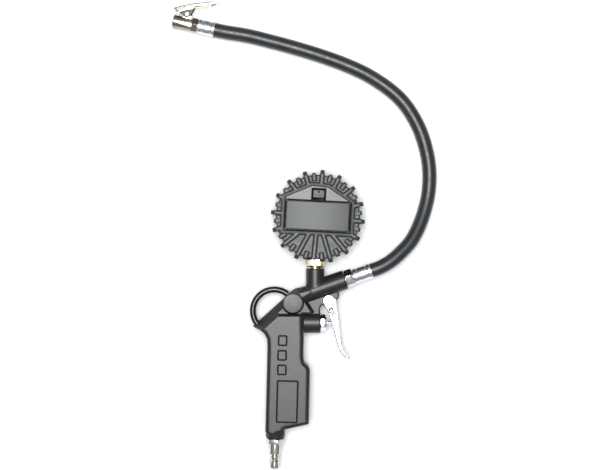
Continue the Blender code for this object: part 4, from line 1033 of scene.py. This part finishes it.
def hose_line():
    """The hose's centreline: out of the gun's ferrule, down to the surface, round to the chuck."""
    start, end = BARREL @ Vector((23.5, 0, 0)), CHUCK @ Vector((14.5, 0, 0))
    away = BARREL.to_3x3() @ Vector((1, 0, 0))
    home = CHUCK.to_3x3() @ Vector((-1, 0, 0))
    straight = 9
    route = [Vector((x + CENTRING[0], y + CENTRING[1], 0)) for x, y in HOSE_ROUTE]
    plan = [start, start + away * straight, *route, end - home * straight, end]
    line = catmull_rom([Vector((p.x, p.y, 0)) for p in plan])
    length = line_length(line)
    travelled, found = 0.0, []
    for i, point in enumerate(line):
        travelled += (point - line[i - 1]).length if i else 0.0
        fallen = ease((travelled - 6.0) / 95.0)
        lifted = ease((travelled - length + 60.0) / 54.0)
        height = MID_HEIGHT + (HOSE_REST - MID_HEIGHT) * fallen + (CHUCK_HEIGHT - HOSE_REST) * lifted
        found.append(Vector((point.x, point.y, height)))
    return found


def make_hose():
    """The hose as a curve, and for its cord its first point and its length in metres."""
    line = [point * MM for point in hose_line()]
    curve = bar_curve("rubber_hose", line, HOSE_R * MM, 14)
    curve.splines[0].use_smooth = True
    curve.materials.append(LOOKS["hose"])
    hose = new_object("rubber_hose", curve)
    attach(hose, "gun")
    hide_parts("hose")
    return hose, line[0], line_length(line)


def chuck_coil():
    """The clip's torsion spring: turns wound round the pin between the lug's cheeks."""
    coil_r, low, height, per_turn, turns = 1.8, -1.35, 2.7, 24, 3
    count = per_turn * turns
    return [(CHUCK_PIVOT[0] + coil_r * math.cos(TAU * i / per_turn),
             CHUCK_PIVOT[1] + coil_r * math.sin(TAU * i / per_turn), low + height * i / count)
            for i in range(count + 1)]


def make_chuck_body():
    """Barrel with the open nozzle, the nut, and the lug that carries the clip's pin."""
    body = lathe("chuck_barrel", CHUCK, ORIGIN, OUT, [
        (0, -13.0), (NOZZLE_BORE_R, -13.0), (NOZZLE_BORE_R, NOZZLE_END + 0.4),
        (NOZZLE_BORE_R + 0.5, NOZZLE_END), (NOZZLE_R - 0.4, NOZZLE_END), (NOZZLE_R, NOZZLE_END + 0.4),
        (NOZZLE_R, NOZZLE_END + 3.6), (CHUCK_R, NOZZLE_END + 4.1), (CHUCK_R, -5.4), (3.4, -5.4),
        (3.4, 13.0), (0, 13.0)])
    lug = [(-16.2, 4.4), (-6.6, 4.4)] + arc(CHUCK_PIVOT, 2.9, -10, 190, 24)
    join(body, hexagon("chuck_nut", CHUCK, ORIGIN, OUT, 14.0, -5.6, -0.4, turned_by=math.radians(27)),
         plate("chuck_lug", CHUCK, lug, -3.6, 3.6, 0.3, 2))
    cut(body,
        rod("pin_bore", CHUCK, (*CHUCK_PIVOT, -8), (*CHUCK_PIVOT, 8), 1.3, 32),
        block("claw_slot", CHUCK, (NOZZLE_END + 0.75, 2.6, -2.6), (NOZZLE_END + 4.8, 8.0, 2.6), 0.3),
        block("spring_slot", CHUCK, (-15.2, CHUCK_R + 0.1, -1.9), (-8.0, 14.0, 1.9), 0.3))
    return bevel(body, 0.2, 2, 40)


def make_chuck():
    """The chuck's pieces, which are returned because they hang on the hose."""
    pin = rivet("clip_pin", CHUCK, CHUCK_PIVOT, [(0, 6.2), (1.6, 6.2), (2.1, 5.8), (2.1, 5.4), (1.2, 5.4)],
                steps=48, soften=0.2)
    ferrule = crimped_ferrule("ferrule_chuck_end", CHUCK, 0.0, 15.5)
    spring = wire("clip_coil", CHUCK, chuck_coil(), 0.3, 4)
    made = [
        piece(ferrule, "zinc_turned", "gun", "zinc", "chuck_ferrule"),
        # the chuck body takes the darker nickel, a painted dark reflection
        piece(make_chuck_body(), "chuck_nickel_painted_reflection", "gun", "nickel", "chuck_body"),
        piece(spring, "spring", "gun", "spring_steel", "chuck_spring"),
        piece(pin, "nickel", "gun", "nickel", "chuck_pin"),
        keep_flats_flat(piece(make_chuck_lever(), "lever_nickel", "clip_lever", "nickel", "chuck_lever")),
    ]
    restyle("seal", "chuck_seal")
    restyle("brass", "valve_depressor")
    return made + ["chuck_seal", "valve_depressor"]


def ear_wedges():
    """Cutters that set each ear back from the handle's fold, sloping out again to the pin."""
    fold_start, along = Vector((-18.2, 9.5)), Vector((0.916, 0.402))
    down = Vector((along.y, -along.x))
    corners = [(fold_start + along * run + down * drop, z) for drop, z in ((0.0, 4.4), (8.0, 5.2))
               for run in (-1.0, 17.0)]
    return [hull("wedge", CHUCK, [(*corner, side * height) for corner, z in corners for height in (z, 8.0)])
            for side in (-1, 1)]


def make_chuck_lever():
    """Pressed channel with two ears on the pin, and the claw that grips the valve's thread."""
    half, inside_half = 5.1, 4.1
    top = [(13.4, 27.6), (5.4, 22.9), (-6.8, 19.2), (-18.5, 14.4), (-23.9, 11.6)]
    under = [(-23.9, 10.4), (-19.5, 9.4), (-17.0, 8.6), (-12.6, 5.2), (-9.6, 5.0), (-8.2, 8.0), (-6.2, 16.2),
             (6.4, 20.0), (14.2, 25.4)]
    corners = [0.8, 3, 3, 3, 0.4, 0.4, 2, 1, 1.6, 1.6, 1, 1.5, 3, 0.8]
    lever = plate("clip_thumb_lever", CHUCK, fillet(top + under, corners), -half, half, 0.8, 4)
    inside = [(15.0, 26.9), (5.9, 21.9), (-6.4, 18.1), (-18.1, 13.3), (-22.6, 10.9), (-22.6, 2.0),
              (16.0, 2.0)]
    cut(lever, plate("hollow", CHUCK, fillet(inside, 1.0), -inside_half, inside_half),
        rod("pin_hole", CHUCK, (*CHUCK_PIVOT, -8), (*CHUCK_PIVOT, 8), 1.4, 32))
    cut(lever, *ear_wedges(), solver="MANIFOLD")
    bevel(lever, 0.18, 2, 40)
    claw = plate("claw", CHUCK, fillet([
        (-21.1, 12.9), (-20.6, 10.9), (-20.1, 8.1), (-20.5, 5.8), (-21.1, 4.0), (-20.3, 3.6), (-19.5, 5.8),
        (-19.1, 8.1), (-19.6, 10.9), (-19.9, 13.4)], [0, 1, 1, 1, 0.2, 0.2, 1, 1, 1, 0]), -2.1, 2.1, 0.15, 2)
    return join(lever, claw)


# ---------------------------------------------------------------- scene
def make_floor():
    mesh = bpy.data.meshes.new("floor")
    bm = bmesh.new()
    bmesh.ops.create_grid(bm, x_segments=1, y_segments=1, size=3.0)
    bm.to_mesh(mesh)
    bm.free()
    floor = new_object("floor", mesh)
    look = Look("pale_floor", (0.93, 0.93, 0.93), 0.85)
    look.vary_colour(look.noise(60.0, 2), (0.925, 0.925, 0.925), (0.94, 0.94, 0.94))
    floor.data.materials.append(look.material)
    floor.location.z = -0.0002


def make_world():
    """A room that is warm grey low down and pale blue overhead."""
    world = bpy.data.worlds.new("studio")
    bpy.context.scene.world = world
    world.use_nodes = True
    nodes, links = world.node_tree.nodes, world.node_tree.links
    coords = nodes.new("ShaderNodeTexCoord")
    split = nodes.new("ShaderNodeSeparateXYZ")
    ramp = nodes.new("ShaderNodeValToRGB")
    stops = ((0.05, (0.20, 0.19, 0.18, 1)), (0.85, (0.85, 0.90, 1.0, 1)))
    for element, (position, colour) in zip(ramp.color_ramp.elements, stops):
        element.position = position
        element.color = colour
    links.new(coords.outputs["Generated"], split.inputs["Vector"])
    links.new(split.outputs["Z"], ramp.inputs["Fac"])
    links.new(ramp.outputs["Color"], nodes["Background"].inputs["Color"])
    nodes["Background"].inputs["Strength"].default_value = 0.45


def make_lamp():
    """One large soft lamp overhead, aimed at the middle of the tool."""
    place, target = Vector((-0.08, 0.16, 1.9)), Vector((0, 0.08, 0))
    light = bpy.data.lights.new("soft_top", "AREA")
    light.shape = "RECTANGLE"
    light.size = light.size_y = 0.8
    light.energy = 38.0
    lamp = new_object("soft_top", light)
    lamp.location = place
    lamp.rotation_euler = (target - place).to_track_quat("-Z", "Y").to_euler()


def make_camera():
    """Straight above the tool. The view is 0.549 m wide at a distance of 1.2 m."""
    data = bpy.data.cameras.new("camera")
    data.sensor_width = 36.0
    data.lens = data.sensor_width * 1.2 / 0.549
    camera = new_object("camera", data)
    camera.location = (-0.0019, 0.0763, 1.218)
    bpy.context.scene.camera = camera


LOOKS = make_looks()
bpy.context.scene.view_settings.view_transform = "Standard"
make_camera()
make_floor()
make_world()
make_lamp()
hose, hose_start, hose_length = make_hose()
chuck_pieces = make_chuck()
make_hose_end()
make_gun_body()
make_side_caps()
make_hanging_loop()
make_inlet()
make_valve()
make_trigger()
make_stem()
make_boot()
make_back_shell()
make_front_shell()
make_screws()
make_battery_door()
make_display()
make_cells()
